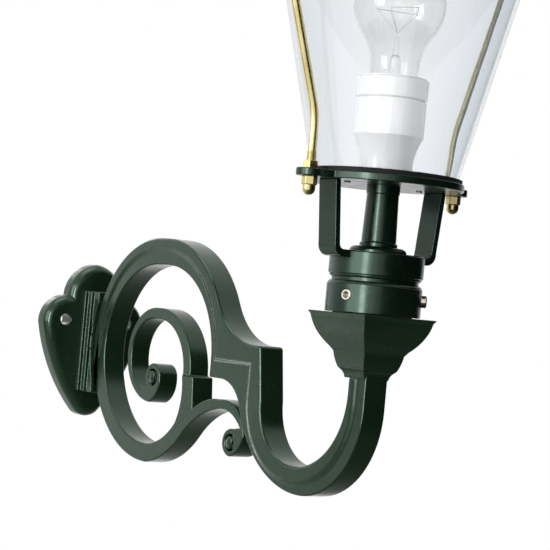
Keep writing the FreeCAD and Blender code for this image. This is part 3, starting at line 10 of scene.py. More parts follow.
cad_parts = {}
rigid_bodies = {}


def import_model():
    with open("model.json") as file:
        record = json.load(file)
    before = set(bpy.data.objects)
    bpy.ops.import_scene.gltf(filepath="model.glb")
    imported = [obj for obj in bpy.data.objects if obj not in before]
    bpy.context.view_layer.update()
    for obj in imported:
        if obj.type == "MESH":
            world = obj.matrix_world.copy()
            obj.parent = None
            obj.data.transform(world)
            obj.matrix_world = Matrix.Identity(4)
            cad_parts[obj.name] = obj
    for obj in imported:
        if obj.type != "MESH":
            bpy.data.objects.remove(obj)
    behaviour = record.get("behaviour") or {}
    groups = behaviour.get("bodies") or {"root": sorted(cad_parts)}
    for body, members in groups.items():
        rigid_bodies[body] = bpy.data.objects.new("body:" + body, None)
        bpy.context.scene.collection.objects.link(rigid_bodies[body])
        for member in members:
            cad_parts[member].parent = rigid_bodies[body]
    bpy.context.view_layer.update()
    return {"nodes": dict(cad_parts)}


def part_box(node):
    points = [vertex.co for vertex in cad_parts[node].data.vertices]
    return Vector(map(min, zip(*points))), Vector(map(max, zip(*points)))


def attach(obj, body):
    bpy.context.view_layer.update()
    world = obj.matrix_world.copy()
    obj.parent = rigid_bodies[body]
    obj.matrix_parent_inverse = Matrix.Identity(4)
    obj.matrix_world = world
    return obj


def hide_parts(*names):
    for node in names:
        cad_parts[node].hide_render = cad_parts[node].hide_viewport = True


bl_info = {
    "name": "Wall Lantern",
    "version": (1, 0, 0),
    "blender": (4, 5, 0),
    "location": "View3D > Sidebar > Lantern",
    "description": "Paint, glass, brass and fine detail for a wall lantern on a scrolled arm",
    "category": "Object",
}

# Lengths are in metres. X runs from the wall to the lantern, Y along the wall and Z up, and the
# origin is on the wall, midway between the wall screws.
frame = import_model()
NODES = frame["nodes"]
HALF_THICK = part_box("scroll_arm")[1][1]
AXIS_X = (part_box("base_disc")[0][0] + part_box("base_disc")[1][0]) / 2


# ---------------------------------------------------------------- settings
class PaintSettings(bpy.types.PropertyGroup):
    """The gloss paint of the casting and of the lantern's turned parts."""
    arm: bpy.props.StringProperty(
        name="Arm colour", description="Gloss paint on the cast arm, as a hex colour", default="243B27")
    arm_deep: bpy.props.StringProperty(
        name="Arm deep colour", description="Where the arm's paint lies thicker", default="1C301F")
    stem: bpy.props.StringProperty(
        name="Stem colour", description="Gloss paint on the turned parts", default="17281D")
    stem_deep: bpy.props.StringProperty(
        name="Stem deep colour", description="Darker patches of the stem's paint", default="0D1B15")
    sheen: bpy.props.StringProperty(
        name="Highlight colour", description="Tint of the paint's own highlights", default="BFE8D2")
    lumps: bpy.props.FloatProperty(
        name="Casting lumps", description="Height of the sand casting's slow waves",
        default=0.0003, min=0.0, unit="LENGTH")
    grain: bpy.props.FloatProperty(
        name="Casting grain", description="Height of the fine grain under the paint",
        default=0.00004, min=0.0, unit="LENGTH")


class MetalSettings(bpy.types.PropertyGroup):
    """Colours of the bare metals."""
    brass: bpy.props.StringProperty(
        name="Brass", description="Polished brass, as a hex colour", default="E8DCA4")
    brass_deep: bpy.props.StringProperty(
        name="Brass tarnish", description="Slightly tarnished brass", default="CFBE82")
    stainless: bpy.props.StringProperty(
        name="Stainless", description="Bright turned stainless steel", default="C9C6B8")
    stainless_deep: bpy.props.StringProperty(
        name="Stainless deep", description="Duller patches of the stainless steel", default="A8A69A")
    zinc: bpy.props.StringProperty(
        name="Zinc", description="Zinc plated steel", default="A9ACAE")
    zinc_deep: bpy.props.StringProperty(
        name="Zinc deep", description="Greyer patches of the zinc", default="8C8F93")
    aluminium: bpy.props.StringProperty(
        name="Aluminium", description="Pressed aluminium of the bulb's cap", default="D4D5D6")
    aluminium_deep: bpy.props.StringProperty(
        name="Aluminium deep", description="Duller patches of the aluminium", default="BFC1C3")
    tungsten: bpy.props.StringProperty(
        name="Tungsten", description="Wire of the filament and its posts", default="F2F2F3")
    tungsten_deep: bpy.props.StringProperty(
        name="Tungsten deep", description="Duller patches of the wire", default="E0E1E4")


class GlassSettings(bpy.types.PropertyGroup):
    """Glass, glaze and the gaskets."""
    tint: bpy.props.StringProperty(
        name="Glass tint", description="Body colour of the cone glass", default="FBFCFE")
    edge_tint: bpy.props.StringProperty(
        name="Glass edge tint", description="Colour of the glass where it is seen along its wall",
        default="B9C6CC")
    bulb_tint: bpy.props.StringProperty(
        name="Bulb tint", description="Body colour of the bulb's glass", default="FBFBFA")
    bulb_edge_tint: bpy.props.StringProperty(
        name="Bulb edge tint", description="Colour of the bulb's glass along its wall",
        default="D9DCDC")
    glaze: bpy.props.StringProperty(
        name="Glaze", description="White glaze of the lampholder", default="FAFAF9")
    glaze_deep: bpy.props.StringProperty(
        name="Glaze deep", description="Where the glaze lies thinner", default="ECEDEA")
    waviness: bpy.props.FloatProperty(
        name="Waviness", description="Height of the blown glass's waves",
        default=0.00004, min=0.0, unit="LENGTH")
    rubber: bpy.props.StringProperty(
        name="Rubber", description="Black rubber of the gaskets", default="141414")
    rubber_bloom: bpy.props.StringProperty(
        name="Rubber bloom", description="Grey bloom on the rubber", default="242424")


class DetailSettings(bpy.types.PropertyGroup):
    """Rounding of edges and the sizes of fine detail."""
    arm_edge: bpy.props.FloatProperty(
        name="Arm edge", description="Rounding of the arm's edges", default=0.0021, unit="LENGTH")
    step_share: bpy.props.FloatProperty(
        name="Step share", description="Share of the rounding that the raised band's steps get",
        default=0.5, min=0.0, max=1.0)
    step_run: bpy.props.FloatProperty(
        name="Step run", description="How far the raised band's steps slope into the field",
        default=0.003, unit="LENGTH")
    pearl: bpy.props.FloatProperty(
        name="Pearl", description="Height of the domed middles of the rolled ends",
        default=0.0016, unit="LENGTH")
    scroll_share: bpy.props.FloatProperty(
        name="Scroll share", description="Share of the rounding that the thinner scrolls get",
        default=0.6, min=0.0, max=1.0)
    plate_edge: bpy.props.FloatProperty(
        name="Plate edge", description="Rounding of the wall plate's edges",
        default=0.0008, unit="LENGTH")
    foot_edge: bpy.props.FloatProperty(
        name="Foot edge", description="Rounding of the foot's ribs", default=0.0009, unit="LENGTH")
    capital_edge: bpy.props.FloatProperty(
        name="Capital edge", description="Rounding of the capital's arrises",
        default=0.0006, unit="LENGTH")
    yoke_edge: bpy.props.FloatProperty(
        name="Yoke edge", description="Rounding of the yoke's strap", default=0.0006, unit="LENGTH")
    disc_edge: bpy.props.FloatProperty(
        name="Disc edge", description="Rounding of the disc and its ears",
        default=0.0007, unit="LENGTH")
    turned_edge: bpy.props.FloatProperty(
        name="Turned edge", description="Rounding of turned edges and of the brass nuts",
        default=0.0004, unit="LENGTH")
    screw_edge: bpy.props.FloatProperty(
        name="Screw edge", description="Rounding of the grub screws", default=0.00025, unit="LENGTH")
    bulb_edge: bpy.props.FloatProperty(
        name="Bulb edge", description="Rounding of the cut edges of the bulb's glass",
        default=0.0002, unit="LENGTH")
    thread_pitch: bpy.props.FloatProperty(
        name="Thread pitch", description="Pitch of the tie rods' threads", default=0.0008, unit="LENGTH")
    thread_length: bpy.props.FloatProperty(
        name="Thread length", description="Thread that shows above a tie rod's lower nut",
        default=0.006, unit="LENGTH")
    thread_ridge: bpy.props.FloatProperty(
        name="Thread ridge", description="Radius of the thread's ridge", default=0.0003, unit="LENGTH")
    rod_radius: bpy.props.FloatProperty(
        name="Rod radius", description="Radius of the tie rods", default=0.0028, unit="LENGTH")
    rod_bend: bpy.props.FloatProperty(
        name="Rod bend", description="Radius of the tie rods' bends", default=0.06, unit="LENGTH")
    post: bpy.props.FloatProperty(
        name="Filament post", description="Radius of the filament's support wires",
        default=0.00014, unit="LENGTH")
    wire: bpy.props.FloatProperty(
        name="Filament wire", description="Radius of the coiled wire", default=0.00006, unit="LENGTH")
    coil: bpy.props.FloatProperty(
        name="Filament coil", description="Radius of the coil's turns", default=0.0002, unit="LENGTH")


def sizes(group):
    """The settings of one group, read from the scene."""
    return getattr(bpy.context.scene, f"lantern_{group}")


# ---------------------------------------------------------------- materials
def linear(hex_colour):
    """Linear RGBA of a hex colour."""
    channels = [int(hex_colour[k:k + 2], 16) / 255 for k in (0, 2, 4)]
    return tuple(c / 12.92 if c <= 0.04045 else ((c + 0.055) / 1.055) ** 2.4
                 for c in channels) + (1.0,)


def add_node(tree, kind, inputs=None, **facts):
    """A node with its properties, and its inputs set to values or linked to sockets."""
    item = tree.nodes.new(kind)
    for key, value in facts.items():
        setattr(item, key, value)
    for key, value in (inputs or {}).items():
        if isinstance(value, bpy.types.NodeSocket):
            tree.links.new(value, item.inputs[key])
        else:
            item.inputs[key].default_value = value
    return item


def surface(name, **sockets):
    """A material with one Principled shader; sockets are given with underscores for spaces."""
    material = bpy.data.materials.new(name)
    material.use_nodes = True
    tree = material.node_tree
    tree.nodes.clear()
    values = {key.replace("_", " "): value for key, value in sockets.items()}
    shader = add_node(tree, "ShaderNodeBsdfPrincipled", values)
    add_node(tree, "ShaderNodeOutputMaterial", {"Surface": shader.outputs["BSDF"]})
    return material, tree, shader


def noise(tree, millimetres, detail=2.0, stretch=(1.0, 1.0, 1.0)):
    """Noise on Object coordinates, with patches of about the given size, optionally stretched."""
    place = add_node(tree, "ShaderNodeTexCoord")
    mapped = add_node(tree, "ShaderNodeMapping",
                      {"Vector": place.outputs["Object"], "Scale": stretch})
    return add_node(tree, "ShaderNodeTexNoise", {
        "Vector": mapped.outputs["Vector"], "Scale": 1000.0 / millimetres,
        "Detail": detail}).outputs["Fac"]


NOISE_MIDDLE = (0.3, 0.7)   # where nearly all values of a noise lie


def span(tree, value, low, high):
    """Maps a noise value to a range."""
    return add_node(tree, "ShaderNodeMapRange", {
        "Value": value, "From Min": NOISE_MIDDLE[0], "From Max": NOISE_MIDDLE[1],
        "To Min": low, "To Max": high}).outputs["Result"]


def blend_colours(tree, factor, first, second):
    """A mix of two hex colours."""
    return add_node(tree, "ShaderNodeMix", {0: factor, 6: linear(first), 7: linear(second)},
                    data_type="RGBA").outputs[2]


def bump(tree, height, distance, under=None):
    """A bump of the given height in metres, on top of another one where given."""
    inputs = {"Height": height, "Strength": 1.0, "Distance": distance}
    if under is not None:
        inputs["Normal"] = under
    return add_node(tree, "ShaderNodeBump", inputs).outputs["Normal"]


# Sizes of the patterns on the finishes, in millimetres. Moulding sand leaves grains of about
# 0.3 mm, and tool marks and mould pits are about 0.1 mm; these are drawn coarser so they show.
PAINT_POOLS = 62.5
PAINT_WAVES = 23.8
PAINT_GLOSS = 8.33
SAND_GRAIN = 1.11
METAL_PATCHES = 16.7
TOOL_MARKS = 1.43
ZINC_MOTTLE = 3.33
CONE_WAVES = 45.5
BULB_WAVES = 28.6
GLAZE_PATCHES = 33.3
GLAZE_GLOSS = 11.1
GLAZE_PEEL = 7.14
RUBBER_BLOOM = 3.33
MOULD_PITS = 0.667
FLOOR_PATCHES = 333.0

# Heights of the patterns on the finishes, in metres.
MARK_DEPTH = 0.00001
PEEL_DEPTH = 0.0001
PIT_DEPTH = 0.00004


def drifting(tree, pattern, colour, deep, socket):
    """Colours a socket with two shades of one finish that drift into each other."""
    tree.links.new(blend_colours(tree, span(tree, pattern, 0.0, 1.0), colour, deep), socket)


def gloss_paint(name, colour, deep, lumps, grain, gloss, coat):
    """Gloss paint brushed over cast or turned metal. The metal's slow waves bend the highlights,
    the paint pools a little darker in patches, and its gloss is uneven."""
    material, tree, shader = surface(name, Coat_Weight=coat, Coat_Roughness=0.12,
                                     Specular_Tint=linear(sizes("paint").sheen))
    drifting(tree, noise(tree, PAINT_POOLS, 3.0), colour, deep, shader.inputs["Base Color"])
    tree.links.new(span(tree, noise(tree, PAINT_GLOSS, 3.0), gloss - 0.05, gloss + 0.08),
                   shader.inputs["Roughness"])
    waves = bump(tree, noise(tree, PAINT_WAVES), lumps)
    tree.links.new(bump(tree, noise(tree, SAND_GRAIN), grain, waves), shader.inputs["Normal"])
    tree.links.new(waves, shader.inputs["Coat Normal"])
    return material


def bare_metal(name, colour, deep, roughness, stretch=(1.0, 1.0, 1.0), marks=TOOL_MARKS):
    """Bare metal with the marks of its making, drawn out along the stretched direction: they
    spread the highlight across themselves."""
    material, tree, shader = surface(name, Metallic=1.0)
    drifting(tree, noise(tree, METAL_PATCHES, 3.0), colour, deep, shader.inputs["Base Color"])
    scratches = noise(tree, marks, 3.0, stretch)
    tree.links.new(span(tree, scratches, *roughness), shader.inputs["Roughness"])
    tree.links.new(bump(tree, scratches, MARK_DEPTH), shader.inputs["Normal"])
    return material


def clear_glass(name, tint, edge_tint, height, waves):
    """Clear blown glass: its slow waves bend what shows through, and it is greyer where the eye
    looks along its wall."""
    material, tree, shader = surface(name, Transmission_Weight=1.0, IOR=1.5, Roughness=0.0)
    along = add_node(tree, "ShaderNodeLayerWeight", {"Blend": 0.3}).outputs["Facing"]
    tree.links.new(blend_colours(tree, along, tint, edge_tint), shader.inputs["Base Color"])
    tree.links.new(bump(tree, noise(tree, waves, 1.0), height), shader.inputs["Normal"])
    return material


def glazed_porcelain(name, colour, deep):
    """Fired porcelain under a poured white glaze: nearly even, with a soft orange peel and a
    hard shine."""
    material, tree, shader = surface(name, Coat_Weight=1.0, Coat_Roughness=0.03)
    drifting(tree, noise(tree, GLAZE_PATCHES, 3.0), colour, deep, shader.inputs["Base Color"])
    tree.links.new(span(tree, noise(tree, GLAZE_GLOSS), 0.16, 0.26), shader.inputs["Roughness"])
    tree.links.new(bump(tree, noise(tree, GLAZE_PEEL), PEEL_DEPTH), shader.inputs["Normal"])
    return material


def black_rubber(name, colour, bloom_colour):
    """Moulded rubber: matt, with a grey bloom in patches and the fine pits of its mould."""
    material, tree, shader = surface(name, Specular_IOR_Level=0.35)
    bloom = noise(tree, RUBBER_BLOOM, 4.0)
    drifting(tree, bloom, colour, bloom_colour, shader.inputs["Base Color"])
    tree.links.new(span(tree, bloom, 0.6, 0.85), shader.inputs["Roughness"])
    tree.links.new(bump(tree, noise(tree, MOULD_PITS, 3.0), PIT_DEPTH), shader.inputs["Normal"])
    return material


FINISHES = {}


def make_finishes():
    """All materials of the lantern, by the name its pieces use."""
    paint, metal, glass = sizes("paint"), sizes("metal"), sizes("glass")
    FINISHES.update({
        # A rough sand casting: the highlights run in broken waves.
        "arm_paint": gloss_paint("dark_green_gloss_paint_on_casting", paint.arm, paint.arm_deep,
                                 paint.lumps, paint.grain, gloss=0.22, coat=0.25),
        # Turning leaves the metal truer, so the highlights run straight, and the paint is darker.
        "stem_paint": gloss_paint("black_green_gloss_paint_on_turning", paint.stem, paint.stem_deep,
                                  paint.lumps * 0.3, paint.grain * 0.5, gloss=0.28, coat=0.12),
        # Drawn through a die and polished: long marks up the rod, bright with a soft edge.
        "brass": bare_metal("polished_brass_rod", metal.brass, metal.brass_deep, (0.24, 0.36),
                            stretch=(1.0, 1.0, 0.12)),
        # Turned from bar: marks run round the nut.
        "brass_nut": bare_metal("polished_brass_nut", metal.brass, metal.brass_deep, (0.26, 0.38),
                                stretch=(0.15, 0.15, 1.0)),
        # Turned on a lathe and left bright: the sharpest shine of the metals.
        "stainless": bare_metal("bright_turned_stainless_steel", metal.stainless,
                                metal.stainless_deep, (0.14, 0.28)),
        # Plated in a bath: no tool marks, but a dull mottle.
        "zinc": bare_metal("zinc_plated_steel", metal.zinc, metal.zinc_deep, (0.28, 0.45),
                           marks=ZINC_MOTTLE),
        # Pressed from sheet: smooth, with fine marks round the cap.
        "cap_metal": bare_metal("pressed_aluminium_cap", metal.aluminium, metal.aluminium_deep,
                                (0.18, 0.32), stretch=(0.1, 0.1, 1.0)),
        # Drawn fine wire: so thin that only a pale line shows.
        "filament": bare_metal("drawn_tungsten_wire", metal.tungsten, metal.tungsten_deep,
                               (0.3, 0.45)),
        "cone_glass": clear_glass("clear_cone_glass", glass.tint, glass.edge_tint,
                                  glass.waviness, waves=CONE_WAVES),
        "bulb_glass": clear_glass("clear_bulb_glass", glass.bulb_tint, glass.bulb_edge_tint,
                                  glass.waviness * 0.4, waves=BULB_WAVES),
        "porcelain": glazed_porcelain("white_glazed_porcelain", glass.glaze, glass.glaze_deep),
        "rubber": black_rubber("black_gasket_rubber", glass.rubber, glass.rubber_bloom),
    })


# ---------------------------------------------------------------- mesh helpers
WELD = 4e-5           # points closer than this are one
FLAT_ANGLE = 0.4      # degrees; faces that bend less are joined up
HAIR = 1e-5           # depths closer than this are the same
STEP_LEAST, STEP_MOST = 0.0005, 0.002   # how deep the arm's field lies under its raised band
SCROLL_INSET = 0.0006   # the thinner scrolls' faces lie at least this far inside the arm's


def link(name, mesh):
    """A new object with the mesh, put in the scene."""
    thing = bpy.data.objects.new(name, mesh)
    bpy.context.scene.collection.objects.link(thing)
    return thing


def cleaned(shape):
    """Welds a bmesh and joins up its flat faces."""
    bmesh.ops.remove_doubles(shape, verts=shape.verts, dist=WELD)
    bmesh.ops.dissolve_degenerate(shape, edges=shape.edges, dist=WELD)
    bmesh.ops.dissolve_limit(shape, angle_limit=math.radians(FLAT_ANGLE), verts=shape.verts,
                             edges=shape.edges)
    return shape


def bare_mesh(shape, name):
    """The bmesh as a smooth mesh without any stored normals."""
    mesh = bpy.data.meshes.new(name)
    shape.to_mesh(mesh)
    shape.free()
    for spare in ("custom_normal", "sharp_edge", "sharp_face"):
        if spare in mesh.attributes:
            mesh.attributes.remove(mesh.attributes[spare])
    mesh.shade_smooth()
    return mesh


def baked(thing):
    """Turns an object's modifiers into its plain mesh."""
    view = bpy.context.evaluated_depsgraph_get()
    mesh = bpy.data.meshes.new_from_object(thing.evaluated_get(view), depsgraph=view)
    mesh.name = thing.name
    thing.modifiers.clear()
    thing.data = mesh
    return thing


def finish(thing, finish_name, slot, body, *nodes):
    """Gives a piece its one material and body, and hides the nodes it stands for; the slot argument is
    not used.
    """
    thing.data.materials.clear()
    thing.data.materials.append(FINISHES[finish_name])
    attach(thing, body)
    if nodes:
        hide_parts(*nodes)
    return thing


def copy_of(node):
    """A loose copy of a node."""
    shape = bmesh.new()
    shape.from_mesh(NODES[node].data)
    for layer in list(shape.loops.layers.float_vector.values()):
        shape.loops.layers.float_vector.remove(layer)
    return link(f"{node}_copy", bare_mesh(cleaned(shape), node))


def joined(nodes):
    """One closed piece of castings that run into each other."""
    whole, *others = [copy_of(node) for node in nodes]
    for other in others:
        modifier = whole.modifiers.new("join", "BOOLEAN")
        modifier.operation, modifier.solver, modifier.object = "UNION", "EXACT", other
    baked(whole)
    for other in others:
        bpy.data.objects.remove(other)
    return whole


LARGE_FACES = 100   # lets the large faces alone set the shading


def hard_edges(edge, limit):
    """Full rounding on every edge that bends more than the limit."""
    return 1.0 if edge.calc_face_angle() > limit else 0.0


def arm_edges(edge, limit):
    """Less rounding on the field's sloping steps and on the thinner scrolls."""
    detail = sizes("detail")
    depths = [abs(vert.co.y) for vert in edge.verts]
    if max(depths) - min(depths) < HAIR and any(is_step(face) for face in edge.link_faces):
        return detail.step_share
    if edge.calc_face_angle() < limit:
        return 0.0
    return detail.scroll_share if max(depths) < HALF_THICK - SCROLL_INSET else 1.0


def is_step(face):
    """Whether a face leads from the raised band down to the field."""
    depths = [abs(vert.co.y) for vert in face.verts]
    return (max(depths) > HALF_THICK - HAIR and min(depths) > HALF_THICK - STEP_MOST
            and max(depths) - min(depths) > STEP_LEAST)


def slope_steps(thing, run):
    """Turns the field's upright low walls into slopes by moving their feet outwards. Where two
    walls meet, the foot moves along both, but never further than twice the run."""
    shape = bmesh.new()
    shape.from_mesh(thing.data)
    cleaned(shape)
    moves = {}
    for face in shape.faces:
        if is_step(face):
            for vert in face.verts:
                if abs(vert.co.y) < HALF_THICK - STEP_LEAST:
                    moves.setdefault(vert, []).append(face.normal.copy())
    for vert, normals in moves.items():
        lean = sum(normals, Vector())
        vert.co += lean / max(lean.dot(normals[0]), 0.5) * run
    thing.data = bare_mesh(shape, thing.name)
    return thing


def rounded(thing, width, segments=3, limit=32.0, share=hard_edges, glass=False):
    """Rounds the edges that bend more than a limit in degrees. Glass keeps a smooth bend round
    its whole wall, or what shows through it would look jagged."""
    shape = bmesh.new()
    shape.from_mesh(thing.data)
    cleaned(shape)
    weights = shape.edges.layers.float.new("bevel_weight_edge")
    for edge in shape.edges:
        if len(edge.link_faces) == 2:
            edge[weights] = share(edge, math.radians(limit))
    thing.data = bare_mesh(shape, thing.name)
    modifier = thing.modifiers.new("edges", "BEVEL")
    modifier.width = width
    modifier.segments = segments
    modifier.limit_method = "WEIGHT"
    modifier.harden_normals = not glass
    modifier.use_clamp_overlap = False
    if glass:
        thing.modifiers.new("bend", "WEIGHTED_NORMAL").weight = LARGE_FACES
    return baked(thing)


def dress(finish_name, *nodes):
    """Keeps CAD nodes and gives them a better material."""
    for node in nodes:
        for place in NODES[node].material_slots:
            place.material = FINISHES[finish_name]


def smooth_copy(node, finish_name, slot, body, width, **rounding):
    """A rounded stand-in for one node, riding where the node does."""
    thing = rounded(copy_of(node), width, **rounding)
    return finish(thing, finish_name, slot, body, node)


# ---------------------------------------------------------------- geometry nodes
def new_tree(name, sockets):
    """A Geometry Nodes tree with named inputs; gives the tree and its inputs by name."""
    tree = bpy.data.node_groups.new(name, "GeometryNodeTree")
    tree.interface.new_socket("Geometry", in_out="INPUT", socket_type="NodeSocketGeometry")
    for label, kind in sockets.items():
        tree.interface.new_socket(label, in_out="INPUT", socket_type=f"NodeSocket{kind}")
    tree.interface.new_socket("Geometry", in_out="OUTPUT", socket_type="NodeSocketGeometry")
    return tree, tree.nodes.new("NodeGroupInput").outputs


def close_tree(tree, geometry, finish_input):
    """Ends a tree: smooth faces, Realize Instances, Set Material."""
    smooth = add_node(tree, "GeometryNodeSetShadeSmooth", {"Geometry": geometry})
    whole = add_node(tree, "GeometryNodeRealizeInstances", {"Geometry": smooth.outputs[0]})
    coated = add_node(tree, "GeometryNodeSetMaterial", {
        "Geometry": whole.outputs[0], "Material": finish_input})
    add_node(tree, "NodeGroupOutput", {"Geometry": coated.outputs[0]})
    return tree


def grown(name, tree, values, points, edges=()):
    """The plain mesh that a tree makes of some points or a path."""
    mesh = bpy.data.meshes.new(name)
    mesh.from_pydata(points, edges, [])
    thing = link(name, mesh)
    modifier = thing.modifiers.new("nodes", "NODES")
    modifier.node_group = tree
    for item in tree.interface.items_tree:
        if item.in_out == "INPUT" and item.name in values:
            modifier[item.identifier] = values[item.name]
    return baked(thing)


COIL_STEP = 3.0   # distance from turn to turn, in radii of the wire


def round_wire(tree, path, radius, sides):
    """A path as a round wire with closed ends."""
    section = add_node(tree, "GeometryNodeCurvePrimitiveCircle", {
        "Radius": radius, "Resolution": sides}, mode="RADIUS")
    return add_node(tree, "GeometryNodeCurveToMesh", {
        "Curve": path, "Profile Curve": section.outputs["Curve"],
        "Fill Caps": True}).outputs["Mesh"]


def thread_tree():
    """A thread's ridge, wound upwards from each point."""
    tree, given = new_tree("thread", {
        "Radius": "Float", "Pitch": "Float", "Length": "Float", "Ridge": "Float",
        "Finish": "Material"})
    turns = add_node(tree, "ShaderNodeMath", {0: given["Length"], 1: given["Pitch"]},
                     operation="DIVIDE")
    spiral = add_node(tree, "GeometryNodeCurveSpiral", {
        "Resolution": 24, "Rotations": turns.outputs[0], "Start Radius": given["Radius"],
        "End Radius": given["Radius"], "Height": given["Length"]})
    ridge = round_wire(tree, spiral.outputs["Curve"], given["Ridge"], sides=6)
    wound = add_node(tree, "GeometryNodeInstanceOnPoints", {
        "Points": given["Geometry"], "Instance": ridge})
    return close_tree(tree, wound.outputs["Instances"], given["Finish"])


def fastener_tree():
    """The same fastener at each point, each turned by a chance angle."""
    tree, given = new_tree("fasteners", {"Fastener": "Object", "Seed": "Int", "Finish": "Material"})
    piece = add_node(tree, "GeometryNodeObjectInfo", {"Object": given["Fastener"]})
    turn = add_node(tree, "FunctionNodeRandomValue", {
        "Min": (0.0, 0.0, 0.0), "Max": (0.0, 0.0, math.tau), "Seed": given["Seed"]},
        data_type="FLOAT_VECTOR")
    placed = add_node(tree, "GeometryNodeInstanceOnPoints", {
        "Points": given["Geometry"], "Instance": piece.outputs["Geometry"],
        "Rotation": turn.outputs["Value"]})
    return close_tree(tree, placed.outputs["Instances"], given["Finish"])


def wire_tree():
    """Round wire or rod along a path, with its corners bent to a radius."""
    tree, given = new_tree("wire", {"Radius": "Float", "Bend": "Float", "Finish": "Material"})
    path = add_node(tree, "GeometryNodeMeshToCurve", {"Mesh": given["Geometry"]})
    bent = add_node(tree, "GeometryNodeFilletCurve", {
        "Curve": path.outputs["Curve"], "Radius": given["Bend"], "Count": 12}, mode="POLY")
    rod = round_wire(tree, bent.outputs["Curve"], given["Radius"], sides=24)
    return close_tree(tree, rod, given["Finish"])


def coil_tree():
    """A coiled wire that follows a path: one ring of wire for each turn."""
    tree, given = new_tree("coil", {"Coil": "Float", "Wire": "Float", "Finish": "Material"})
    path = add_node(tree, "GeometryNodeMeshToCurve", {"Mesh": given["Geometry"]})
    apart = add_node(tree, "ShaderNodeMath", {0: given["Wire"], 1: COIL_STEP},
                     operation="MULTIPLY")
    steps = add_node(tree, "GeometryNodeResampleCurve", {
        "Curve": path.outputs["Curve"], "Length": apart.outputs[0]}, mode="LENGTH")
    along = add_node(tree, "GeometryNodeInputTangent")
    facing = add_node(tree, "FunctionNodeAlignRotationToVector", {
        "Vector": along.outputs["Tangent"]}, axis="Z")
    turn = add_node(tree, "GeometryNodeCurvePrimitiveCircle", {
        "Radius": given["Coil"], "Resolution": 8}, mode="RADIUS")
    ring = round_wire(tree, turn.outputs["Curve"], given["Wire"], sides=4)
    wound = add_node(tree, "GeometryNodeInstanceOnPoints", {
        "Points": steps.outputs["Curve"], "Instance": ring, "Rotation": facing.outputs["Rotation"]})
    return close_tree(tree, wound.outputs["Instances"], given["Finish"])


# ---------------------------------------------------------------- the arm
# The domed middles of the two rolled ends: the node, its centre in X and Z, and its radius.
ROLLED_ENDS = (("inner_volute", (0.1165, -0.0360), 0.0047),
               ("lower_scroll", (0.2260, -0.0730), 0.0045))
PEARL_SINK = 0.0002   # how deep a dome's widest ring lies under the face


def add_pearls(thing, centre, radius, depth, height):
    """Domes the middle of a rolled end on both faces."""
    shape = bmesh.new()
    shape.from_mesh(thing.data)
    for side in (-1, 1):
        place = Matrix.Translation((centre[0], side * (depth - PEARL_SINK), centre[1]))
        flat = Matrix.Diagonal((radius, height, radius, 1.0))
        bmesh.ops.create_uvsphere(shape, u_segments=24, v_segments=16, radius=1.0,
                                  matrix=place @ flat)
    thing.data = bare_mesh(shape, thing.name)


class LANTERN_OT_plate(bpy.types.Operator):
    """Rounded wall plate and ribbed foot"""
    bl_idname = "lantern.plate"
    bl_label = "Wall plate and foot"

    def execute(self, context):
        detail = sizes("detail")
        smooth_copy("wall_plate", "arm_paint", "green_paint", "bracket", detail.plate_edge,
                    segments=2, limit=40.0)
        smooth_copy("arm_foot", "arm_paint", "green_paint", "bracket", detail.foot_edge,
                    limit=40.0)
        return {"FINISHED"}


class LANTERN_OT_arm(bpy.types.Operator):
    """Scroll arm in one casting: ring, web, neck, lower scroll and inner volute"""
    bl_idname = "lantern.arm"
    bl_label = "Arm casting"

    def execute(self, context):
        nodes = ("scroll_arm", "lower_scroll", "inner_volute")
        detail = sizes("detail")
        casting = slope_steps(joined(nodes), detail.step_run)
        for node, centre, radius in ROLLED_ENDS:
            add_pearls(casting, centre, radius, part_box(node)[1][1], detail.pearl)
        arm = rounded(casting, detail.arm_edge, segments=4, limit=38.0, share=arm_edges)
        finish(arm, "arm_paint", "green_paint", "bracket", *nodes)
        return {"FINISHED"}


class LANTERN_OT_capital(bpy.types.Operator):
    """Square capital with the spigot and its bolt"""
    bl_idname = "lantern.capital"
    bl_label = "Capital"

    def execute(self, context):
        detail = sizes("detail")
        smooth_copy("capital", "arm_paint", "green_paint", "bracket", detail.capital_edge,
                    segments=2, limit=25.0)
        smooth_copy("spigot", "stem_paint", "green_paint", "bracket", detail.turned_edge,
                    segments=2)
        dress("zinc", "spigot_bolt")
        return {"FINISHED"}


# ---------------------------------------------------------------- the lantern
class LANTERN_OT_stem(bpy.types.Operator):
    """Collar, upper ring, yoke, boss, column and disc"""
    bl_idname = "lantern.stem"
    bl_label = "Stem and disc"

    def execute(self, context):
        dress("stem_paint", "socket_collar", "upper_ring", "boss", "centre_column")
        detail = sizes("detail")
        smooth_copy("yoke", "stem_paint", "green_paint", "lantern", detail.yoke_edge)
        smooth_copy("base_disc", "stem_paint", "green_paint", "lantern", detail.disc_edge)
        dress("zinc", "centre_tie", "tie_nut_lower", "tie_nut_upper", "holder_plate",
              "holder_screws")
        return {"FINISHED"}


class LANTERN_OT_grub_screws(bpy.types.Operator):
    """Set screws with hexagon sockets"""
    bl_idname = "lantern.grub_screws"
    bl_label = "Grub screws"

    def execute(self, context):
        for number in (1, 2, 3):
            node = f"grub_screw_{number}"
            smooth_copy(node, "stainless", "stainless", node, sizes("detail").screw_edge,
                        segments=2)
        return {"FINISHED"}


class LANTERN_OT_glass(bpy.types.Operator):
    """Cone glass and its gaskets"""
    bl_idname = "lantern.glass"
    bl_label = "Glass"

    def execute(self, context):
        dress("cone_glass", "glass_cone")
        # Light passes the thin clear wall, as it does on the real lantern.
        NODES["glass_cone"].visible_shadow = False
        dress("rubber", "glass_gasket", "hood_gasket")
        return {"FINISHED"}


BEND_OVER_DISC = 0.039    # from the disc's underside up to a tie rod's lower bend
BEND_UNDER_RIM = 0.0204   # from the hood rim's top down to its upper bend


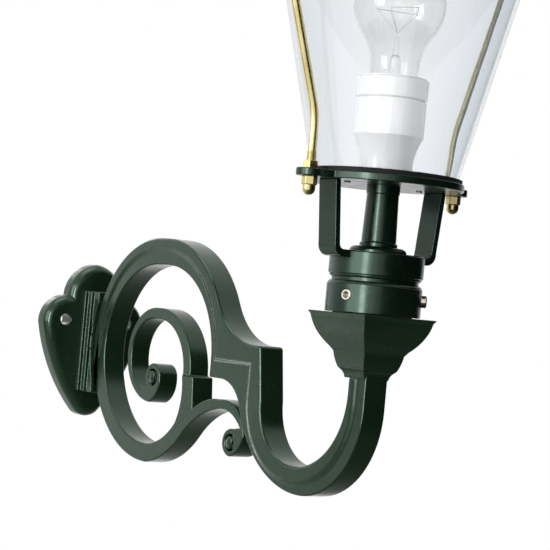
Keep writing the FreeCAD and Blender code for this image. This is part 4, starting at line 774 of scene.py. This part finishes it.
def rod_reach(node, end):
    """How far a tie rod's lower (min) or upper (max) end stands from the lantern's axis."""
    low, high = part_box(node)
    radius = (high[0] - low[0]) / 2
    return end(abs(low[1]), abs(high[1])) + (radius if end is min else -radius)


def near_half(node):
    """The near one of a node's two like fasteners, moved onto its own axis."""
    thing = copy_of(node)
    shape = bmesh.new()
    shape.from_mesh(thing.data)
    far = [vert for vert in shape.verts if vert.co.y > 0.0]
    bmesh.ops.delete(shape, geom=far, context="VERTS")
    reach = rod_reach("tie_rod_near", min)
    bmesh.ops.translate(shape, vec=(-AXIS_X, reach, 0.0), verts=shape.verts)
    thing.data = bare_mesh(shape, thing.name)
    return thing, [(AXIS_X, -reach, 0.0), (AXIS_X, reach, 0.0)]


def rod_path(node, side):
    """Corners of a tie rod: up from its ear, out beside the glass, up through the hood."""
    (_, _, foot), (_, _, top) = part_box(node)
    near, far = rod_reach(node, min), rod_reach(node, max)
    lower_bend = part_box("base_disc")[0][2] + BEND_OVER_DISC
    upper_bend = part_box("hood_rim")[1][2] - BEND_UNDER_RIM
    return [(AXIS_X, side * reach, z) for reach, z in (
        (near, foot), (near, lower_bend), (far, upper_bend), (far, top))]


class LANTERN_OT_rods(bpy.types.Operator):
    """Brass tie rods with their threads and nuts"""
    bl_idname = "lantern.rods"
    bl_label = "Tie rods"

    def execute(self, context):
        detail = sizes("detail")
        for node, side in (("tie_rod_near", -1.0), ("tie_rod_far", 1.0)):
            rod = grown(f"{node}_bent", wire_tree(), {
                "Radius": detail.rod_radius, "Bend": detail.rod_bend,
                "Finish": FINISHES["brass"]}, rod_path(node, side), [(0, 1), (1, 2), (2, 3)])
            finish(rod, "brass", "brass", "lantern", node)
        tree = fastener_tree()
        for seed, node in enumerate(("rod_hex_nuts", "rod_acorn_nuts")):
            nut, places = near_half(node)
            rounded(nut, detail.turned_edge)
            pair = grown(f"{node}_pair", tree, {
                "Fastener": nut, "Seed": seed, "Finish": FINISHES["brass_nut"]}, places)
            bpy.data.objects.remove(nut)
            finish(pair, "brass_nut", "brass", "lantern", node)
        top_of_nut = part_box("rod_hex_nuts")[1][2]
        threads = grown("rod_threads", thread_tree(), {
            "Radius": detail.rod_radius, "Pitch": detail.thread_pitch,
            "Length": detail.thread_length, "Ridge": detail.thread_ridge,
            "Finish": FINISHES["brass_nut"]}, [(x, y, top_of_nut) for x, y, _ in places])
        finish(threads, "brass_nut", "brass", "lantern")
        for node in ("hood_nut_near", "hood_nut_far"):
            smooth_copy(node, "brass_nut", "brass", node, detail.turned_edge)
        return {"FINISHED"}


class LANTERN_OT_lampholder(bpy.types.Operator):
    """Glazed lampholder with its brass shell"""
    bl_idname = "lantern.lampholder"
    bl_label = "Lampholder"

    def execute(self, context):
        dress("porcelain", "lampholder_body", "lampholder_ring")
        dress("brass_nut", "screw_shell", "centre_contact")
        return {"FINISHED"}


HUB_RISE = 0.0022        # from the filament's underside up to where its posts meet
POST_COUNT = 5
POST_APART = 75.0        # degrees from one post to the next
FIRST_POST = -60.0       # bearing of the first post, in degrees
POST_REACH = 0.015       # how far a post's tip stands from the axis
POST_RISE = 0.014        # how far the lower tips stand over the hub
POST_STAGGER = 0.002     # how much higher every second tip stands


class LANTERN_OT_bulb(bpy.types.Operator):
    """Clear bulb with its cap, stem and wires"""
    bl_idname = "lantern.bulb"
    bl_label = "Bulb"

    def execute(self, context):
        detail = sizes("detail")
        for node in ("bulb_glass", "bulb_stem"):
            envelope = smooth_copy(node, "bulb_glass", "clear_glass", "bulb", detail.bulb_edge,
                                   segments=2, glass=True)
            envelope.visible_shadow = False
        dress("cap_metal", "bulb_cap", "bulb_contact")
        hub = Vector((AXIS_X, 0.0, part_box("bulb_filament")[0][2] + HUB_RISE))
        bearings = [math.radians(POST_APART * k + FIRST_POST) for k in range(POST_COUNT)]
        tips = [hub + Vector((POST_REACH * math.cos(bearing), POST_REACH * math.sin(bearing),
                              POST_RISE + k % 2 * POST_STAGGER))
                for k, bearing in enumerate(bearings)]
        finish_values = {"Finish": FINISHES["filament"]}
        posts = grown("filament_posts", wire_tree(), {"Radius": detail.post, **finish_values},
                      [hub, *tips], [(0, k + 1) for k in range(len(tips))])
        finish(posts, "filament", "filament_wire", "bulb", "bulb_filament")
        coil = grown("filament_coil", coil_tree(), {
            "Coil": detail.coil, "Wire": detail.wire, **finish_values},
            tips, [(k, k + 1) for k in range(len(tips) - 1)])
        finish(coil, "filament", "filament_wire", "bulb")
        return {"FINISHED"}


class LANTERN_OT_hood(bpy.types.Operator):
    """Spun hood, vent and finial"""
    bl_idname = "lantern.hood"
    bl_label = "Hood"

    def execute(self, context):
        dress("stem_paint", "hood_rim", "hood_crown", "vent_neck", "vent_cap", "finial")
        dress("zinc", "hood_bridge", "hood_stud", "hood_stud_nut")
        return {"FINISHED"}


# ---------------------------------------------------------------- the stage
IMAGE_PIXELS = 550        # width and height of the photograph
CAMERA_PLACE = (1.2955, -0.7574, 0.025)
CAMERA_BEARING = 54.0     # degrees that its line of sight turns from Y towards the wall
CAMERA_ROLL = 5.2         # degrees that the picture leans
FOCAL_PIXELS = 1863.0     # focal length in pixels of the photograph
RISE_PIXELS = 31.3        # how far the picture is shifted up
SENSOR = 36.0             # width of the camera's sensor, in millimetres
LIT_MIDDLE = (AXIS_X - 0.1, 0.0, 0.1)   # what every lamp points at
FLOOR_HEIGHT = -0.42
FLOOR_RADIUS = 1.15
FLOOR_FADE = (0.5, 1.12)  # from where to where the floor fades out
FLOOR_GLOW = 0.3          # lifts the floor to white for the camera alone
FLOOR_COLOURS = ("F7F7F6", "F1F1EF")
CARD_COLOUR = "060706"
AMBIENT = 0.25            # strength of the surroundings' plain light
STRIP_DISTANCE, STRIP_MIDDLE, STRIP_HEIGHT = 1.6, 0.15, 1.2
# Lamps that one finish alone reflects: name, finish, bearing in degrees, width and brightness.
STRIPS = (("arm_edge_strip", "arm_paint", -60.0, 0.26, 28.0),
          ("arm_wall_strip", "arm_paint", 179.0, 0.5, 2.5),
          ("stem_strip", "stem_paint", -66.0, 0.3, 22.0))
Fade = namedtuple("Fade", "axis clear full most")


def add_camera():
    """The camera that gives the photograph's view: level, turned towards the wall and rolled."""
    bearing, roll = math.radians(CAMERA_BEARING), math.radians(CAMERA_ROLL)
    ahead = Vector((-math.sin(bearing), math.cos(bearing), 0.0))
    level = Vector((math.cos(bearing), math.sin(bearing), 0.0))
    above = Vector((0.0, 0.0, 1.0))
    right = level * math.cos(roll) + above * math.sin(roll)
    up = above * math.cos(roll) - level * math.sin(roll)
    data = bpy.data.cameras.new("camera")
    data.sensor_width = SENSOR
    data.lens = FOCAL_PIXELS / IMAGE_PIXELS * SENSOR
    data.shift_y = RISE_PIXELS / IMAGE_PIXELS
    data.clip_start = 0.05
    camera = bpy.data.objects.new("camera", data)
    turn = Matrix((right, up, -ahead)).transposed()
    camera.matrix_world = Matrix.Translation(CAMERA_PLACE) @ turn.to_4x4()
    bpy.context.scene.collection.objects.link(camera)
    bpy.context.scene.camera = camera


def polar(degrees, distance, height):
    """A place round the lantern's axis: 0 degrees is away from the wall."""
    angle = math.radians(degrees)
    return Vector((AXIS_X + distance * math.cos(angle), distance * math.sin(angle), height))


def add_softbox(name, place, width, height, brightness):
    """An area lamp aimed at the lit middle, with the given brightness whatever its size."""
    data = bpy.data.lights.new(name, "AREA")
    data.shape = "RECTANGLE"
    data.size, data.size_y = width, height
    data.energy = brightness * width * height * math.pi
    lamp = bpy.data.objects.new(name, data)
    lamp.location = place
    lamp.rotation_euler = (Vector(LIT_MIDDLE) - place).to_track_quat("-Z", "Y").to_euler()
    bpy.context.scene.collection.objects.link(lamp)
    return lamp


def add_card(name, corners, fades):
    """A dark card that only reflections show. A fade tells along which axis the card darkens,
    where it is clear, where it is full, and how dark it is there."""
    mesh = bpy.data.meshes.new(name)
    columns = len(corners) // 2
    mesh.from_pydata(corners, [], [(2 * k, 2 * k + 2, 2 * k + 3, 2 * k + 1)
                                   for k in range(columns - 1)])
    card = link(name, mesh)
    material, tree, shader = surface(name, Roughness=1.0, Specular_IOR_Level=0.0)
    shader.inputs["Base Color"].default_value = linear(CARD_COLOUR)
    place = add_node(tree, "ShaderNodeTexCoord")
    axes = add_node(tree, "ShaderNodeSeparateXYZ", {"Vector": place.outputs["Object"]}).outputs
    darkness = None
    for fade in fades:
        part = add_node(tree, "ShaderNodeMapRange", {
            "Value": axes[fade.axis], "From Min": fade.clear, "From Max": fade.full,
            "To Max": fade.most}, interpolation_type="SMOOTHSTEP").outputs["Result"]
        darkness = part if darkness is None else add_node(tree, "ShaderNodeMath", {
            0: darkness, 1: part}, operation="MINIMUM").outputs[0]
    tree.links.new(darkness, shader.inputs["Alpha"])
    mesh.materials.append(material)
    card.visible_camera = False
    card.visible_diffuse = False
    card.visible_transmission = False
    card.visible_shadow = False


def curved(start, end, low, high, distance, steps=24):
    """Corners of a card bent round the lantern's axis, from one bearing to another."""
    return [polar(start + (end - start) * k / steps, distance, z)
            for k in range(steps + 1) for z in (low, high)]


def add_floor():
    """A pale round floor that fades out at its edge."""
    shape = bmesh.new()
    bmesh.ops.create_circle(shape, cap_ends=True, segments=96, radius=FLOOR_RADIUS)
    mesh = bpy.data.meshes.new("floor")
    shape.to_mesh(mesh)
    shape.free()
    floor = link("floor", mesh)
    floor.location = (AXIS_X, 0.0, FLOOR_HEIGHT)
    material, tree, shader = surface("pale_floor", Roughness=0.9, Specular_IOR_Level=0.1)
    tree.links.new(blend_colours(tree, noise(tree, FLOOR_PATCHES, 3.0), *FLOOR_COLOURS),
                   shader.inputs["Base Color"])
    place = add_node(tree, "ShaderNodeTexCoord")
    reach = add_node(tree, "ShaderNodeVectorMath", {0: place.outputs["Object"]}, operation="LENGTH")
    fade = add_node(tree, "ShaderNodeMapRange", {
        "Value": reach.outputs["Value"], "From Min": FLOOR_FADE[0], "From Max": FLOOR_FADE[1],
        "To Min": 1.0, "To Max": 0.0}, interpolation_type="SMOOTHSTEP")
    tree.links.new(fade.outputs["Result"], shader.inputs["Alpha"])
    path = add_node(tree, "ShaderNodeLightPath")
    glow = add_node(tree, "ShaderNodeMath", {0: path.outputs["Is Camera Ray"], 1: FLOOR_GLOW},
                    operation="MULTIPLY")
    shader.inputs["Emission Color"].default_value = (1.0, 1.0, 1.0, 1.0)
    tree.links.new(glow.outputs[0], shader.inputs["Emission Strength"])
    mesh.materials.append(material)


def add_world():
    """White for the camera, reflections and glass; a plain grey for everything else."""
    world = bpy.data.worlds.new("studio")
    world.use_nodes = True
    tree = world.node_tree
    tree.nodes.clear()
    path = add_node(tree, "ShaderNodeLightPath")
    seen = add_node(tree, "ShaderNodeMath", {
        0: path.outputs["Is Camera Ray"], 1: path.outputs["Is Glossy Ray"]}, operation="MAXIMUM")
    seen = add_node(tree, "ShaderNodeMath", {
        0: seen.outputs[0], 1: path.outputs["Is Transmission Ray"]}, operation="MAXIMUM")
    strength = add_node(tree, "ShaderNodeMapRange", {
        "Value": seen.outputs[0], "To Min": AMBIENT, "To Max": 1.0})
    back = add_node(tree, "ShaderNodeBackground", {
        "Color": (1.0, 1.0, 1.0, 1.0), "Strength": strength.outputs["Result"]})
    add_node(tree, "ShaderNodeOutputWorld", {"Surface": back.outputs["Background"]})
    bpy.context.scene.world = world


def coated_with(finish_name):
    """A collection of the pieces with one finish, for a lamp that only they reflect."""
    group = bpy.data.collections.new(f"{finish_name}_pieces")
    for thing in bpy.data.objects:
        if FINISHES[finish_name].name in thing.material_slots:
            group.objects.link(thing)
    return group


class LANTERN_OT_stage(bpy.types.Operator):
    """Camera, lamps, floor and white surroundings"""
    bl_idname = "lantern.stage"
    bl_label = "Stage"

    def execute(self, context):
        add_camera()
        add_world()
        add_floor()
        add_softbox("window", polar(-92.0, 1.8, 0.45), width=0.9, height=1.2, brightness=4.6)
        add_softbox("side_fill", polar(-45.0, 1.9, 0.4), width=0.5, height=1.3, brightness=1.0)
        add_softbox("overhead", Vector((AXIS_X - 0.2, -0.2, 1.6)), width=1.0, height=1.0,
                    brightness=2.2)
        for name, finish_name, bearing, width, brightness in STRIPS:
            strip = add_softbox(name, polar(bearing, STRIP_DISTANCE, STRIP_MIDDLE), width,
                                STRIP_HEIGHT, brightness)
            strip.visible_diffuse = False
            strip.visible_transmission = False
            strip.light_linking.receiver_collection = coated_with(finish_name)
        add_card("side_card", curved(-22.0, 105.0, low=-1.2, high=1.5, distance=1.5),
                 [Fade("Z", clear=-1.2, full=-0.5, most=1.0),
                  Fade("Z", clear=1.5, full=0.8, most=1.0)])
        add_card("wall_side_card", curved(-178.0, -112.0, low=-0.9, high=0.3, distance=1.4),
                 [Fade("Z", clear=-0.9, full=-0.4, most=0.8),
                  Fade("Z", clear=0.3, full=-0.3, most=0.8),
                  Fade("X", clear=-0.95, full=-0.5, most=0.8)])
        add_card("floor_card", [Vector((x, y, FLOOR_HEIGHT + 0.02)) for x in (-0.5, 1.6)
                                for y in (-0.9, 1.0)],
                 [Fade("X", clear=-0.4, full=0.6, most=0.9)])
        context.scene.view_settings.view_transform = "Standard"
        return {"FINISHED"}


# ---------------------------------------------------------------- add-on
class LANTERN_OT_finishes(bpy.types.Operator):
    """All materials of the lantern"""
    bl_idname = "lantern.finishes"
    bl_label = "Finishes"

    def execute(self, context):
        make_finishes()
        return {"FINISHED"}


PIECES = (LANTERN_OT_finishes, LANTERN_OT_plate, LANTERN_OT_arm,
          LANTERN_OT_capital, LANTERN_OT_stem, LANTERN_OT_grub_screws, LANTERN_OT_glass,
          LANTERN_OT_rods, LANTERN_OT_lampholder, LANTERN_OT_bulb, LANTERN_OT_hood,
          LANTERN_OT_stage)
SETTINGS = {"paint": PaintSettings, "metal": MetalSettings, "glass": GlassSettings,
            "detail": DetailSettings}


class LANTERN_PT_panel(bpy.types.Panel):
    """Lists the lantern's pieces"""
    bl_idname = "LANTERN_PT_panel"
    bl_label = "Wall Lantern"
    bl_space_type = "VIEW_3D"
    bl_region_type = "UI"
    bl_category = "Lantern"

    def draw(self, context):
        for piece in PIECES:
            self.layout.operator(piece.bl_idname)


def register():
    """Registers the settings, the pieces and the panel."""
    for group, kind in SETTINGS.items():
        bpy.utils.register_class(kind)
        setattr(bpy.types.Scene, f"lantern_{group}", bpy.props.PointerProperty(type=kind))
    for piece in PIECES:
        bpy.utils.register_class(piece)
    bpy.utils.register_class(LANTERN_PT_panel)


def unregister():
    """Takes everything back out in reverse."""
    bpy.utils.unregister_class(LANTERN_PT_panel)
    for piece in reversed(PIECES):
        bpy.utils.unregister_class(piece)
    for group, kind in reversed(SETTINGS.items()):
        delattr(bpy.types.Scene, f"lantern_{group}")
        bpy.utils.unregister_class(kind)


def main():
    """Makes every piece in order."""
    register()
    for piece in PIECES:
        family, name = piece.bl_idname.split(".")
        getattr(getattr(bpy.ops, family), name)()


if __name__ == "__main__":
    main()
